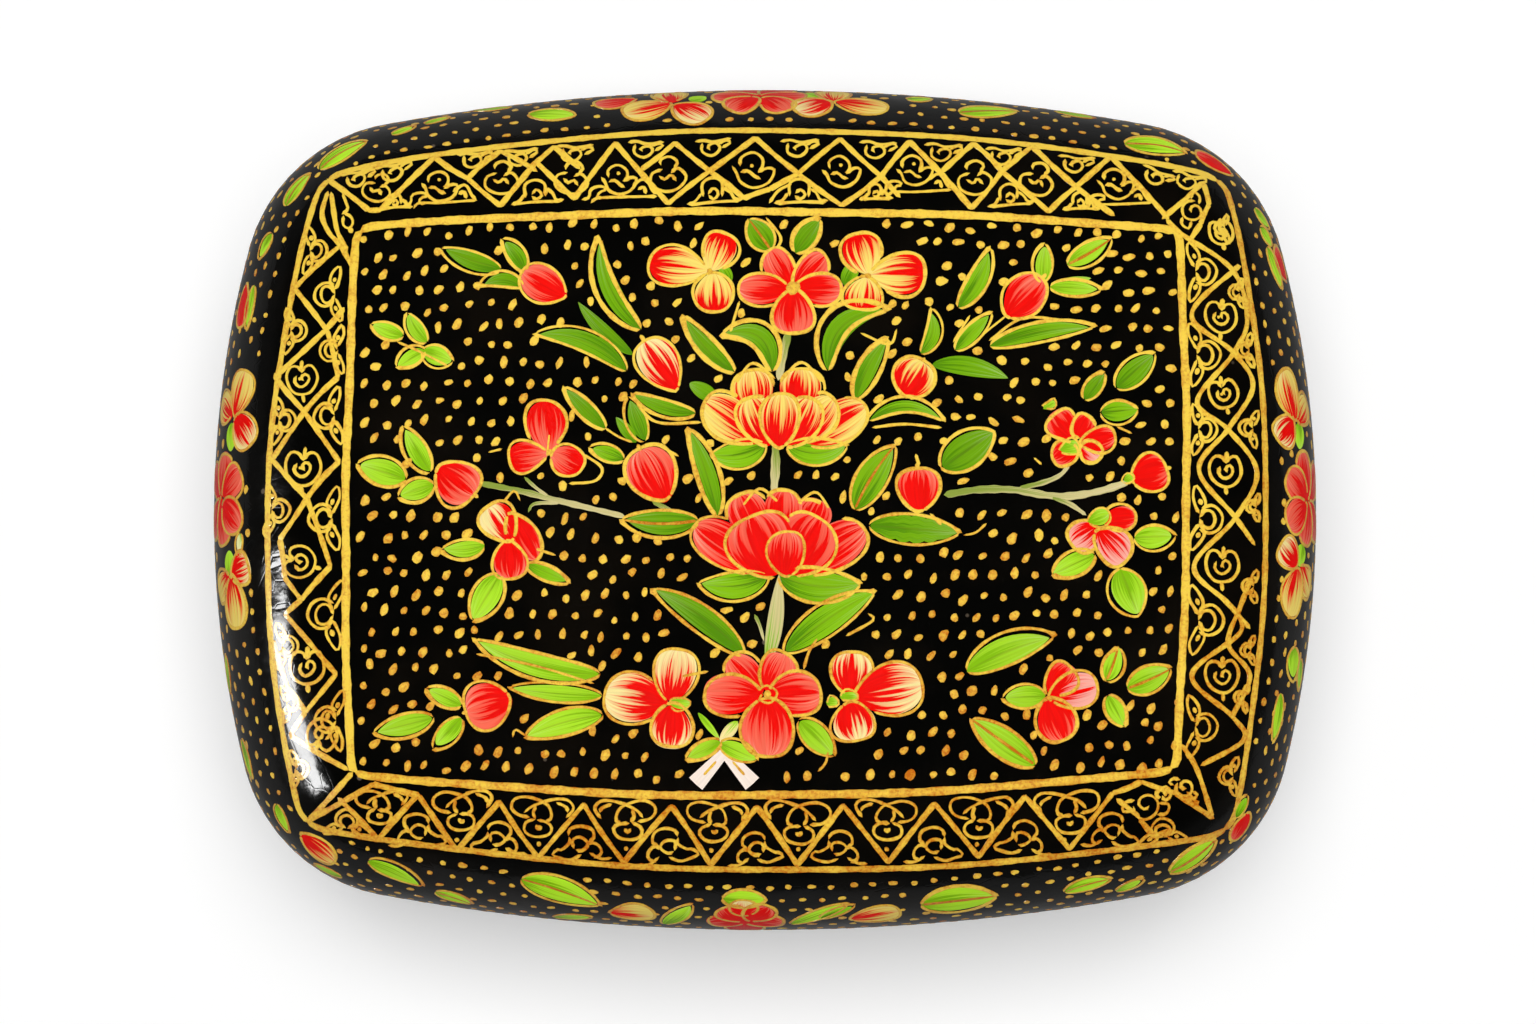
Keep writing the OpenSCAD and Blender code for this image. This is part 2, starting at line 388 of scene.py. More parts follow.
class Coat:
    """Marks of one kind of paint, gathered in flat coordinates and laid on a surface at the end."""

    def __init__(self, place, seed, relief):
        self.place, self.relief = place, relief
        self.random = np.random.default_rng(seed)
        self.flat, self.heights, self.quads, self.fans = [], [], [], []
        self.looks = {}
        self.count = 0
        self.taken = []

    def _add(self, flat, heights, quads, fans, looks):
        """Adds points and faces, and looks that are given by the point or once for them all."""
        self.flat.append(flat)
        self.heights.append(heights)
        self.quads.append(quads + self.count)
        self.fans.append(fans + self.count)
        self.count += len(flat)
        for name, value in looks.items():
            value = np.asarray(value, float)
            self.looks.setdefault(name, []).append(
                value if value.ndim == 2 else np.tile(value, (len(flat), 1)))

    def stroke(self, path, half, across, coats, looks, brush=None):
        """A domed cross-section carried along a path; half is the half-width at each row, the
        first and last rows shrink to points, and the edges sink into the lacquer."""
        rows, ring = len(path) - 2, len(across)
        side = left_of(path)[1:-1, None]
        flat = path[1:-1, None] + side * (half[1:-1, None] * across)[..., None]
        dome = self.relief * (coats + DOME * (1 - across ** 2))
        dome[[0, -1]] = -SUNK
        heights = np.broadcast_to(dome, (rows, ring))
        flat = np.concatenate([flat.reshape(-1, 2), path[[0, -1]]])
        heights = np.concatenate([heights.ravel(), [0.0, 0.0]])
        looks = dict(looks)
        if "tone" in looks:  # gold is thicker along the middle of a line
            thin = np.concatenate([np.broadcast_to(across ** 2, (rows, ring)).ravel(), [1.0, 1.0]])
            looks["tone"] = np.outer(0.06 - 0.3 * thin, (1, 0, 0, 0)) + looks["tone"]
        if brush is not None:
            seed, lean, flip = brush
            along = np.linspace(0, 1, len(path))
            along = 1 - along if flip else along
            u = np.broadcast_to(across / 2 + 0.5, (rows, ring)).ravel()
            v = (along[1:-1, None] - (0.22 * across ** 2 if flip else 0 * across)).ravel()
            u = np.concatenate([u, [0.5, 0.5]])
            v = np.concatenate([v, along[[0, -1]]])
            looks["brush"] = np.stack([u, v, 0 * u + seed, 0 * u + lean / 2 + 0.5], -1)
        self._add(flat, heights, *stroke_faces(rows, ring), looks)

    def line(self, path, width, coats, looks, taper=(0.0, 0.0), blob=(0.0, 0.0),
             step=LINE_STEP, brush=None):
        """A line drawn with a fine brush: even rows along the path, a width that swells a
        little by hand, round ends, and where asked a thin end or a blob of paint at an end."""
        path = np.asarray(path, float)
        gaps = np.hypot(*np.diff(path, axis=0).T)
        along = np.concatenate([[0], np.cumsum(gaps)])
        total = along[-1]
        s = np.linspace(0, total, max(7, int(total / step) + 2))
        rows = np.stack([np.interp(s, along, path[:, 0]), np.interp(s, along, path[:, 1])], -1)
        a, b = self.random.uniform(0, ANY_PHASE, 2)
        half = width / 2 * (1 + 0.1 * np.sin(1.3 * s + a) + 0.08 * np.sin(3.7 * s + b))
        rest = np.minimum(s, total - s)  # to the nearer end
        half = half * np.sqrt(np.clip(rest / (0.55 * width) + 0.02, 0, 1))
        back = total - s
        half = half * (1 - taper[0] * np.exp(-s / 1.2)) * (1 - taper[1] * np.exp(-back / 1.2))
        half = half * (1 + blob[0] * np.exp(-((s - 0.4) / 0.4) ** 2)
                       + blob[1] * np.exp(-((back - 0.4) / 0.4) ** 2))
        self.stroke(rows, half, THIN, coats, looks, brush)

    def dots(self, centres, turns, lengths, widths, coats, looks):
        """Touches of a loaded brush: a ten-sided drop with a low crown and a sunk rim."""
        n = len(centres)
        corner = np.arange(DOT_SIDES) * 2 * np.pi / DOT_SIDES
        rag = self.random.uniform(0.84, 1.1, (n, DOT_SIDES))
        x = np.cos(corner) * lengths[:, None] / 2 * rag
        y = np.sin(corner) * (1 - 0.1 * np.cos(corner)) * widths[:, None] / 2 * rag
        c, s = np.cos(turns)[:, None], np.sin(turns)[:, None]
        rim = np.stack([x * c - y * s, x * s + y * c], -1)
        zero = np.zeros((n, 1, 2))
        local = np.concatenate([rim, 0.9 * rim, zero, zero], 1) + centres[:, None]
        lift = self.relief * coats
        height = np.concatenate([np.full(DOT_SIDES, -SUNK), np.full(DOT_SIDES, lift),
                                 [lift + 0.2 * self.relief, -SUNK]])
        i = np.arange(DOT_SIDES)
        j = (i + 1) % DOT_SIDES
        quads = np.stack([i, j, j + DOT_SIDES, i + DOT_SIDES], -1)
        top, under = 0 * i + 2 * DOT_SIDES, 0 * i + 2 * DOT_SIDES + 1
        fans = np.concatenate([np.stack([i + DOT_SIDES, j + DOT_SIDES, top], -1),
                               np.stack([j, i, under], -1)])
        per = len(height)
        shift = (np.arange(n) * per)[:, None, None]
        thin = np.concatenate([np.full(DOT_SIDES, -0.3), np.full(DOT_SIDES, -0.16), [0.14, 0.0]])
        tone = np.broadcast_to(looks["tone"], (n, 4)).repeat(per, 0)
        each = {"tone": tone + np.outer(np.tile(thin, n), (1, 0, 0, 0))}
        self._add(local.reshape(-1, 2), np.tile(height, n), (quads + shift).reshape(-1, 4),
                  (fans + shift).reshape(-1, 3), each)

    def lay(self, name, material):
        """Maps the marks on to the surface, each point raised along the surface's normal."""
        flat = np.concatenate(self.flat)
        height = np.concatenate(self.heights)
        a, b = flat.T
        nudge = 0.02
        here = self.place(a, b)
        normal = np.cross(self.place(a + nudge, b) - self.place(a - nudge, b),
                          self.place(a, b + nudge) - self.place(a, b - nudge))
        normal /= np.linalg.norm(normal, axis=1)[:, None]
        thing = finished_mesh(name, here + normal * height[:, None],
                              [np.concatenate(self.quads), np.concatenate(self.fans)], [material],
                              crease=25)
        for look, values in self.looks.items():
            values = np.concatenate(values).astype(np.float32)
            layer = thing.data.attributes.new(look, "FLOAT_COLOR", "POINT")
            layer.data.foreach_set("color", values.ravel())
        return thing

    def keep_clear(self, points, radius):
        """Remembers the ground that a mark covers, so that no dot falls on it."""
        radius = np.broadcast_to(radius, len(points))
        self.taken.append(np.column_stack([points, radius]))


# ---- Leaves, petals and buds ----------------------------------------------------------------

class Blade:
    """A leaf or a petal: a bent axis from root to tip and a half-width that is a power of a
    half sine wave, power 1 for a round end and 2 for a pointed one. belly moves the widest
    place towards the tip (+) or the root (-)."""

    ROWS = 20

    def __init__(self, root, tip, width, ends, belly, bend=0.0, teeth=0):
        root, tip = np.asarray(root, float), np.asarray(tip, float)
        turn = np.pi * np.linspace(0, 1, self.ROWS)
        t = (1 - np.cos(turn)) / 2
        run = tip - root
        side = np.array([-run[1], run[0]]) / math.hypot(*run)
        off = 4 * bend * t * (1 - t)
        self.axis = root + t[:, None] * run + off[:, None] * side
        power = ends[0] + (ends[1] - ends[0]) * t
        self.half = width / 2 * np.sin(turn) ** power * (1 + belly * (2 * t - 1))
        if teeth:
            self.half = self.half * (1 + 0.13 * np.sin(2 * np.pi * teeth * t))
        self.side = left_of(self.axis)

    def edge(self, sign, gap):
        """The left (+1) or right (-1) edge, set out by a gap."""
        return self.axis + sign * (self.half + gap)[:, None] * self.side

    def covers(self, points):
        """Whether each point lies well inside the blade."""
        far = np.hypot(points[:, None, 0] - self.axis[None, :, 0],
                       points[:, None, 1] - self.axis[None, :, 1])
        return (far < 0.9 * self.half).any(1)

    def loop(self, gap):
        """Once round the blade: up the left edge and back down the right one."""
        return np.concatenate([self.edge(1, gap), self.edge(-1, gap)[::-1][1:]])


# Ground and shade of a leaf, by the first letter of its marks.
LEAF_TONES = {"t": ("stem", "leaf_mid"), "d": ("leaf_deep", "leaf_shade"),
              "m": ("leaf_mid", "leaf_shade"), "l": ("leaf_lime", "leaf_mid"),
              "p": ("cream", "leaf_lime")}
LEAF_GAP, PETAL_GAP = 0.04, 0.06  # from the edge of the colour to the gold line


class Garden:
    """The leaves, petals, gold and stems of one surface, each a coat of its own."""

    def __init__(self, place, context, seed, light=1.0):
        sizes, self.colours = context.scene.paint_sizes, context.scene.paint_colours
        # light scales the green of the leaves up: painted light, which the lid's sides use to paint
        # their leaves lighter
        self.light = light
        self.outline = sizes.outline / MM
        relief = sizes.relief / MM
        self.leaves = Coat(place, seed, relief)
        self.petals = Coat(place, seed + 1, relief)
        self.gold = Coat(place, seed + 2, relief)
        self.random = np.random.default_rng(seed + 3)

    def colour(self, name):
        """A colour of the settings, by its name."""
        return tuple(getattr(self.colours, name))

    def gold_tone(self, y=0.0, tone=None):
        """Thick gold is bright. Unless a tone is given, painted light is added: the gold is lighter
        to the back of the field and higher up the sides, and darker to the front and lower down.
        """
        if tone is None:
            # painted light: lighter as y grows, darker to the front and lower down
            tone = float(np.clip(0.94 + y * 0.009, 0.5, 1.1))
        return {"tone": (tone + self.random.uniform(-0.06, 0.06), self.random.random(), 0, 1)}

    def border_tone_and_light(self, x, y):
        """The border's gold is painted lighter at the back and darker to the front and towards the
        right end: painted light and shade, with the hand's spread of tone.
        """
        # painted light and shade: lighter at the back, darker to the front and past x = 50 on the
        # right
        tone = 1.02 + 0.0095 * y - 0.035 * max(x - 50, 0)
        return self.gold_tone(tone=float(np.clip(tone, 0.5, 1.12)))

    def clear(self, blade):
        """Keeps the dots off the ground under a blade."""
        self.gold.keep_clear(blade.axis, blade.half)

    def gild(self, path, width, coats=GILT_COATS, tone=None):
        """A loose gold line through a few points."""
        path = np.asarray(path, float)
        smooth = spline(path) if len(path) > 2 else path
        self.gold.line(smooth, width, coats, self.gold_tone(path[:, 1].mean(), tone))
        self.gold.keep_clear(smooth[::3], 0.35)

    def leaf(self, x0, y0, x1, y1, width, bend, marks):
        """A leaf from root to tip. marks: first one of LEAF_TONES for its green, then n for no
        outline, b for a bold one, o for a blob of gold past the tip, s for a toothed edge, r for
        a gold rib, c for an outline drawn as a closed loop."""
        ground, shade = (self.colour(c) for c in LEAF_TONES[marks[0]])
        seed, lean = self.random.random(), self.random.uniform(-0.5, 0.5)
        # painted light times the hand's spread of tone
        light = self.light * self.random.uniform(0.9, 1.08)
        ground = np.clip(np.array(ground) * light, 0, 1)
        rounded = width > 0.45 * math.hypot(x1 - x0, y1 - y0)
        blade = Blade((x0, y0), (x1, y1), width, (1.3, 1.2) if rounded else (1.35, 1.7), -0.12,
                      bend, teeth=6 if "s" in marks else 0)
        rib = 0.0 if "n" in marks else 0.4
        coats = LEAF_COATS + 0.5 * self.random.random()
        self.leaves.stroke(blade.axis, blade.half, BROAD, coats,
                           {"ground": (*ground, rib), "streak": (*shade, 0.34)},
                           (seed, lean, False))
        self.clear(blade)
        if "n" not in marks:
            self.outline_leaf(self.loose(x0, y0, x1, y1, width, bend), marks, y0)

    def loose(self, x0, y0, x1, y1, width, bend):
        """A leaf as the gold brush redraws it: a little larger, and never quite in register."""
        root, tip = np.array([x0, y0], float), np.array([x1, y1], float)
        run = (tip - root) / math.hypot(*(tip - root))
        return Blade(root - 0.1 * run, tip + self.random.uniform(0.1, 0.6) * run,
                     width * self.random.uniform(0.96, 1.14) + 0.06, (1.25, 1.55), -0.1,
                     bend * self.random.uniform(0.9, 1.25) + self.random.uniform(-0.2, 0.2))

    def outline_leaf(self, blade, marks, y):
        """The gold of a leaf: a loop or two edges that meet past the tip, and a rib if asked."""
        width = self.outline * (1.45 if "b" in marks else self.random.uniform(0.8, 1.15))
        looks = self.gold_tone(y)
        slip = self.random.uniform(-0.12, 0.12, 2)
        if "c" in marks:
            loop = blade.loop(LEAF_GAP)
            self.gold.line(np.vstack([loop, loop[1:2]]) + slip, width, LEAF_LINE_COATS, looks)
        else:
            past = blade.axis[-1] + (blade.axis[-1] - blade.axis[-3]) * 1.2
            blob = 0.9 if "o" in marks else 0.35
            left = np.vstack([blade.edge(1, LEAF_GAP), past]) + slip
            right = np.vstack([blade.edge(-1, LEAF_GAP), blade.axis[-1]]) + slip * 0.5
            self.gold.line(spline(left[::2]), width, LEAF_LINE_COATS, looks, taper=(0.3, 0.0),
                           blob=(0.0, blob))
            self.gold.line(right, width * 0.9, LEAF_LINE_COATS - 0.1, looks, taper=(0.3, 0.2))
        if "r" in marks:
            self.gold.line(blade.axis[1:], width * 0.8, LEAF_LINE_COATS - 0.4,
                           self.gold_tone(tone=0.3), taper=(0.0, 0.5))

    def petal(self, x0, y0, x1, y1, width, style, order=0, lean=0.0, drawn=1.0):
        """A petal from its root in the flower to its tip. order lifts it over its neighbours,
        and drawn scales its gold line, which is left out at 0."""
        ground, flame, reach, flip = PETAL_STYLES[style]
        broad = width > 0.8 * math.hypot(x1 - x0, y1 - y0)
        blade = Blade((x0, y0), (x1, y1), width, (1.2, 0.84) if broad else (1.5, 0.95), 0.22)
        looks = {"ground": (*self.colour(ground), 0.0), "streak": (*self.colour(flame), reach)}
        coats = PETAL_COATS + PETAL_LIFT * order
        self.petals.stroke(blade.axis, blade.half, BROAD, coats, looks,
                           (self.random.random(), lean, flip))
        self.clear(blade)
        if drawn:
            self.gild_loop(blade, drawn, coats + GOLD_LIFT, self.gold_tone(y0))
        return blade

    def gild_loop(self, blade, drawn, coats, looks, covers=()):
        """A gold line once round a petal, left out where later petals cover it."""
        loop = np.roll(blade.loop(PETAL_GAP)[:-1], 3, 0)
        wave = np.linspace(0, 12.6, len(loop)) + self.random.uniform(0, 6.3, (2, 1))
        loop = loop + 0.13 * np.sin(wave).T
        loop = np.vstack([loop, loop[:2]]) + self.random.uniform(-0.16, 0.16, 2)
        width = self.outline * drawn * self.random.uniform(0.8, 1.12)
        seen = np.ones(len(loop), bool)
        for cover in covers:
            seen &= ~cover.covers(loop)
        ends = np.flatnonzero(np.diff(np.concatenate([[False], seen, [False]]).astype(int)))
        for first, last in ends.reshape(-1, 2):
            if last - first > 3:
                self.gold.line(loop[first:last], width, coats, looks)

    def flower(self, style, petals):
        """Petals laid one over the other, each outlined only where it stays in sight."""
        blades = []
        for order, (x0, y0, x1, y1, width, *lean) in enumerate(petals):
            blades.append(self.petal(x0, y0, x1, y1, width, style, order, *lean, drawn=0))
        for order, blade in enumerate(blades):
            coats = PETAL_COATS + GOLD_LIFT + PETAL_LIFT * order
            self.gild_loop(blade, 1.0, coats, self.gold_tone(petals[order][1]),
                           blades[order + 1:])

    def bud(self, x0, y0, x1, y1, width, style):
        """A closed bud: an oval of flames with a gold line round it and a touch at its tip."""
        self.petal(x0, y0, x1, y1, width, style)
        root, tip = np.array([x0, y0]), np.array([x1, y1])
        self.gild([tip - 0.02 * (tip - root), tip + 0.12 * (tip - root)], 0.5)

    def stem(self, points, width):
        """A stem: a soft line of grey-green with a darker streak along it."""
        base = np.array(self.colour("stem"))
        path = spline(points)
        looks = {"ground": (*base, 0.0), "streak": (*base * (0.42, 0.62, 0.2), 0.42)}
        self.leaves.line(path, width, STEM_COATS, looks, taper=(0.2, 0.3),
                         brush=(self.random.random(), 0.3, False))
        self.gold.keep_clear(path[::2], width / 2)

    def cut_stalk(self, root, tip):
        """The foot of a stem: a pale strip, cut off straight, with a gold line down it."""
        share = np.array([0, 0.01, 0.25, 0.5, 0.75, 0.99, 1])
        path = root + share[:, None] * (tip - root)
        pale = self.colour("stalk")
        self.leaves.stroke(path, 0.62 + 0.5 * share, THIN, STEM_COATS,
                           {"ground": (*pale, 0.0), "streak": (*pale, 0.3)},
                           (self.random.random(), 0.0, False))
        self.gold.keep_clear(path, 1.1)
        self.gild(path[2:5], 0.3, STEM_COATS + 1.5, tone=0.7)

    def taken(self):
        """The ground kept clear of dots: discs of x, y and radius."""
        return np.concatenate(self.gold.taken)


PETAL_STYLES = {
    # ground, flame, how far the flame reaches, and whether it starts from the tip
    "coral": ("coral", "red", 0.6, False),
    "scarlet": ("coral", "red", 0.8, False),
    "lotus": ("coral", "red", 0.72, False),
    "yellow": ("yellow", "red", 0.46, True),
    "gold": ("yellow", "red", 0.64, False),
    "cream": ("yellow", "red", 0.46, False),
    "flame": ("cream", "red", 0.64, False),
    "pale": ("cream", "coral", 0.5, False),
    "pink": ("pink", "red", 0.5, False),
    "lip": ("coral", "red", 0.52, True),
    "moss": ("leaf_lime", "leaf_mid", 0.5, False),
}

# Leaves of the field, in plan millimetres: root, tip, width, bend to the left, marks.
FIELD_LEAVES = (
    # the sprig at the upper left
    (-30.3, 26.4, -36.6, 28.6, 2.1, 0.2, "d"), (-27.6, 26.2, -29.8, 29.4, 1.9, -0.2, "d"),
    (-27.8, 24.2, -32.2, 24.4, 1.6, -0.8, "d"), (-14.2, 19.35, -18.9, 29.5, 2.2, 1.2, "db"),
    (-15.1, 16.4, -21.4, 22.5, 1.7, 0.4, "dn"), (-15.9, 14.6, -25.9, 18.7, 2.3, -1.3, "d"),
    (-41.5, 18.7, -44.9, 19.9, 1.9, 0.0, "l"), (-38.7, 18.0, -40.8, 21.1, 1.9, 0.2, "l"),
    (-38.9, 16.9, -42.0, 15.1, 2.0, 0.0, "l"), (-39.1, 16.9, -35.9, 15.7, 2.2, 0.0, "l"),
    # round the top rosette
    (0.6, 28.6, -1.8, 32.0, 3.0, 0.0, "dr"), (3.5, 28.2, 6.2, 31.9, 2.5, 0.0, "db"),
    (0.8, 14.6, -4.7, 18.7, 2.5, -2.2, "db"), (7.3, 14.6, 13.9, 21.4, 2.7, 2.4, "db"),
    (-3.6, 14.4, -9.1, 20.4, 2.2, 0.5, "db"), (-5.5, 11.3, -8.6, 13.1, 1.9, 0.0, "dn"),
    (-8.0, 9.7, -15.0, 11.9, 1.7, 0.4, "d"), (-3.9, 24.8, -5.2, 27.1, 1.4, 0.0, "mn"),
    (9.1, 24.4, 10.4, 27.2, 1.9, 0.0, "mn"),
    # the sprigs at the upper right
    (22.2, 21.9, 25.6, 28.2, 2.1, -0.5, "m"), (31.9, 24.9, 32.1, 28.9, 2.0, 0.0, "l"),
    (34.7, 26.9, 39.4, 29.7, 2.3, 0.0, "lr"), (32.7, 24.3, 38.1, 24.0, 1.8, 0.0, "l"),
    (33.0, 24.5, 37.4, 25.3, 1.1, 0.0, "ln"), (25.8, 17.4, 37.1, 19.6, 2.0, 0.6, "m"),
    (21.8, 17.0, 25.6, 20.9, 1.7, 0.0, "m"), (17.8, 16.6, 18.9, 21.3, 1.8, -0.8, "m"),
    (19.1, 15.2, 27.8, 13.7, 2.3, 0.6, "dn"), (10.4, 11.4, 13.9, 18.1, 2.2, 0.4, "db"),
    (36.6, 11.3, 38.8, 14.2, 1.8, 0.0, "d"), (40.3, 12.7, 44.4, 16.4, 2.6, 0.0, "d"),
    (38.5, 9.8, 42.6, 10.2, 2.4, 0.0, "m"), (12.0, 8.8, 20.2, 8.8, 1.5, 1.6, "m"),
    (20.3, 3.5, 26.0, 7.4, 3.8, 0.0, "dc"), (10.3, -1.3, 14.6, 5.6, 3.4, 0.3, "mr"),
    (12.0, -3.2, 22.0, -4.0, 3.3, 0.0, "dso"), (42.2, -4.5, 46.4, -4.3, 2.8, 0.0, "l"),
    (37.5, -6.5, 32.9, -8.7, 2.5, 0.0, "l"), (40.5, -8.1, 42.5, -13.2, 3.8, 0.0, "lc"),
    # the left branch
    (-18.3, 7.9, -22.8, 12.4, 1.8, 0.0, "d"), (-13.7, 6.6, -15.4, 11.1, 2.0, 0.0, "d"),
    (-14.7, 6.3, -17.0, 9.2, 1.4, 0.0, "dn"), (-16.2, 4.4, -19.6, 5.6, 1.8, 0.0, "m"),
    (-41.1, 2.2, -46.2, 3.8, 3.0, 0.0, "l"), (-38.3, 3.1, -41.1, 7.8, 2.3, 0.0, "l"),
    (-37.9, 1.5, -41.6, 0.3, 2.3, 0.0, "l"), (-32.0, -5.4, -36.6, -5.8, 1.9, 0.3, "lo"),
    (-27.1, -7.6, -22.6, -9.5, 1.7, 0.0, "m"), (-30.3, -8.8, -33.2, -13.8, 3.0, 0.0, "l"),
    (-0.1, 6.0, -6.0, 4.9, 3.0, 0.6, "m"), (2.6, 6.0, 9.1, 6.0, 3.1, -0.9, "m"),
    (-5.4, -2.0, -8.6, 7.6, 2.2, -0.3, "db"), (-7.7, -2.6, -15.8, -2.5, 2.9, 0.3, "dr"),
    (0.2, -19.2, 1.6, -8.8, 1.9, -0.3, "tn"),
    # the lower left
    (-18.9, -20.1, -32.6, -16.4, 2.6, 0.9, "l"), (-18.6, -22.6, -28.8, -21.7, 2.0, 0.2, "l"),
    (-18.6, -24.8, -27.1, -27.2, 2.8, -0.4, "l"), (-34.6, -23.6, -38.2, -21.9, 1.8, 0.0, "l"),
    (-34.6, -25.1, -37.4, -28.1, 2.2, 0.0, "l"), (-37.9, -25.1, -44.1, -26.7, 2.4, 0.0, "l"),
    # below the lower lotus and round the bottom rosette
    (0.2, -9.0, -7.2, -9.8, 3.0, 0.7, "m"), (1.7, -8.9, 10.8, -9.8, 3.7, -0.8, "m"),
    (-2.4, -17.8, -12.4, -10.6, 2.8, -0.6, "do"), (2.4, -17.5, 12.4, -10.8, 3.2, 0.4, "mo"),
    (-5.1, -27.8, -8.8, -29.7, 1.8, 0.0, "l"), (-5.1, -28.0, -1.0, -29.8, 2.0, 0.0, "l"),
    (-3.1, -25.5, -5.1, -27.8, 1.4, 0.0, "pn"), (-7.6, -24.5, -5.1, -27.6, 0.8, 0.0, "ln"),
    (4.0, -25.5, 7.7, -29.2, 2.8, 0.0, "l"),
    # the lower right
    (23.0, -19.8, 32.4, -16.0, 3.4, 0.4, "lo"), (31.9, -22.6, 27.4, -22.8, 2.6, 0.0, "l"),
    (30.7, -30.4, 23.6, -25.3, 3.2, 0.0, "lr"), (38.9, -20.8, 40.2, -17.1, 2.3, 0.0, "lr"),
    (41.3, -21.7, 46.0, -19.6, 3.0, 0.0, "lr"), (39.1, -22.6, 40.9, -25.9, 2.1, 0.0, "l"),
)

# Flowers of the field, back to front: style, then root, tip and width of each petal, and where
# one edge is redder how far the flame leans to the left (+) or right (-).
FIELD_FLOWERS = (
    ("lip", ((-24.6, 5.1, -25.2, 11.1, 4.6), (-24.8, 5.0, -29.3, 4.4, 3.6),
               (-24.4, 5.2, -20.9, 3.4, 3.5))),
    ("yellow", ((-6.2, 26.1, -4.6, 30.4, 4.0), (-6.4, 26.2, -13.2, 26.9, 4.5),
                (-5.9, 25.9, -5.8, 21.3, 4.5))),
    ("yellow", ((11.9, 25.7, 10.6, 30.4, 4.5), (12.0, 25.6, 18.4, 25.9, 4.9),
                (11.6, 25.3, 11.2, 21.4, 4.5))),
    ("coral", ((3.0, 24.3, 0.6, 28.6, 3.6), (3.5, 24.3, 7.0, 27.9, 3.3),
               (3.5, 23.9, 9.0, 23.9, 3.7), (2.9, 23.9, -3.0, 24.1, 3.7),
               (3.2, 23.8, 3.4, 18.7, 4.7))),
    ("gold", ((4.0, 9.4, 4.1, 14.8, 4.8), (-1.0, 9.4, -1.6, 14.7, 4.6),
              (-0.4, 6.3, -7.0, 11.0, 5.0, -0.4), (4.6, 6.3, 11.5, 10.5, 4.8, 0.4),
              (3.6, 6.1, 7.8, 11.3, 4.2, 0.2), (0.5, 5.9, -1.7, 11.4, 4.4),
              (2.6, 5.9, 5.2, 11.4, 4.2), (1.4, 5.6, 1.8, 11.9, 4.4))),
    ("lotus", ((-0.6, -4.6, -2.9, 0.2, 4.6), (4.4, -4.4, 6.3, -0.3, 4.2),
               (2.0, -4.4, 2.2, 0.8, 4.4),
               (0.2, -8.5, -7.9, -3.3, 5.0, -0.4), (3.4, -8.5, 11.3, -3.4, 5.0, 0.4),
               (2.8, -8.8, 6.2, -2.2, 6.6), (1.2, -8.9, -1.6, -2.0, 7.6),
               (2.1, -9.0, 2.5, -3.9, 4.2))),
    ("scarlet", ((35.2, 6.9, 32.9, 9.8, 3.4), (35.6, 7.0, 37.0, 9.5, 2.6),
                 (36.0, 6.2, 40.0, 7.2, 2.9), (35.6, 6.0, 33.0, 4.4, 2.8))),
    ("pink", ((36.0, 5.9, 38.2, 4.5, 2.4),)),
    ("scarlet", ((38.5, -2.6, 42.4, -2.3, 3.0),)),
    ("pink", ((38.0, -3.2, 34.9, -5.4, 3.6), (38.2, -3.6, 41.4, -7.2, 3.9))),
    ("flame", ((-28.9, -5.0, -31.6, -1.0, 4.0, -0.7),)),
    ("scarlet", ((-29.0, -1.6, -26.0, -7.0, 3.4), (-29.2, -4.8, -28.9, -9.2, 3.8))),
    ("flame", ((-11.0, -23.4, -18.3, -22.3, 5.7), (-10.7, -23.2, -9.9, -17.2, 5.0, -0.5),
               (-10.4, -23.6, -10.8, -28.6, 4.7, -0.4))),
    ("flame", ((9.8, -22.4, 9.9, -17.4, 4.7), (10.0, -22.6, 17.9, -21.2, 5.9),
               (9.6, -23.2, 10.6, -27.6, 4.9))),
    ("scarlet", ((32.4, -22.4, 35.0, -19.2, 3.6), (32.2, -22.9, 34.1, -27.6, 4.5))),
    ("pink", ((32.4, -22.8, 38.0, -21.4, 4.1),)),
    ("coral", ((-0.2, -22.2, -4.0, -18.3, 3.7), (0.3, -22.2, 2.2, -17.9, 4.2),
               (0.3, -22.5, 6.4, -22.3, 4.9), (-0.2, -22.5, -7.0, -22.3, 4.7),
               (0.1, -22.7, 0.3, -29.4, 5.9))),
)

# Buds of the field: root, far end, width, style.
FIELD_BUDS = (
    (-22.7, 23.0, -27.7, 25.9, 4.2, "coral"), (-9.9, 12.4, -13.8, 18.0, 4.6, "flame"),
    (27.6, 20.9, 31.8, 25.3, 4.6, "coral"), (15.6, 11.6, 18.0, 15.6, 4.7, "gold"),
    (-37.4, 3.6, -33.2, 0.4, 5.2, "coral"), (-11.2, -0.5, -14.2, 5.4, 5.5, "coral"),
    (17.6, -1.5, 17.4, 3.4, 4.8, "coral"), (42.0, 2.2, 46.0, 3.4, 4.4, "scarlet"),
    (-28.8, -22.9, -33.9, -24.4, 5.4, "coral"),
)

# Small green cups and eyes of flowers: centre, length, width, turn in degrees.
FIELD_CUPS = (
    (41.6, 2.3, 1.4, 1.0, 30), (34.9, 5.7, 2.4, 1.8, 10), (38.0, -2.2, 2.6, 2.0, 20),
    (-9.7, -23.4, 2.4, 1.4, 0), (9.5, -22.7, 2.0, 1.2, 0), (7.6, -23.3, 1.3, 1.2, 0),
    (32.5, 10.6, 1.6, 0.9, 30),
)

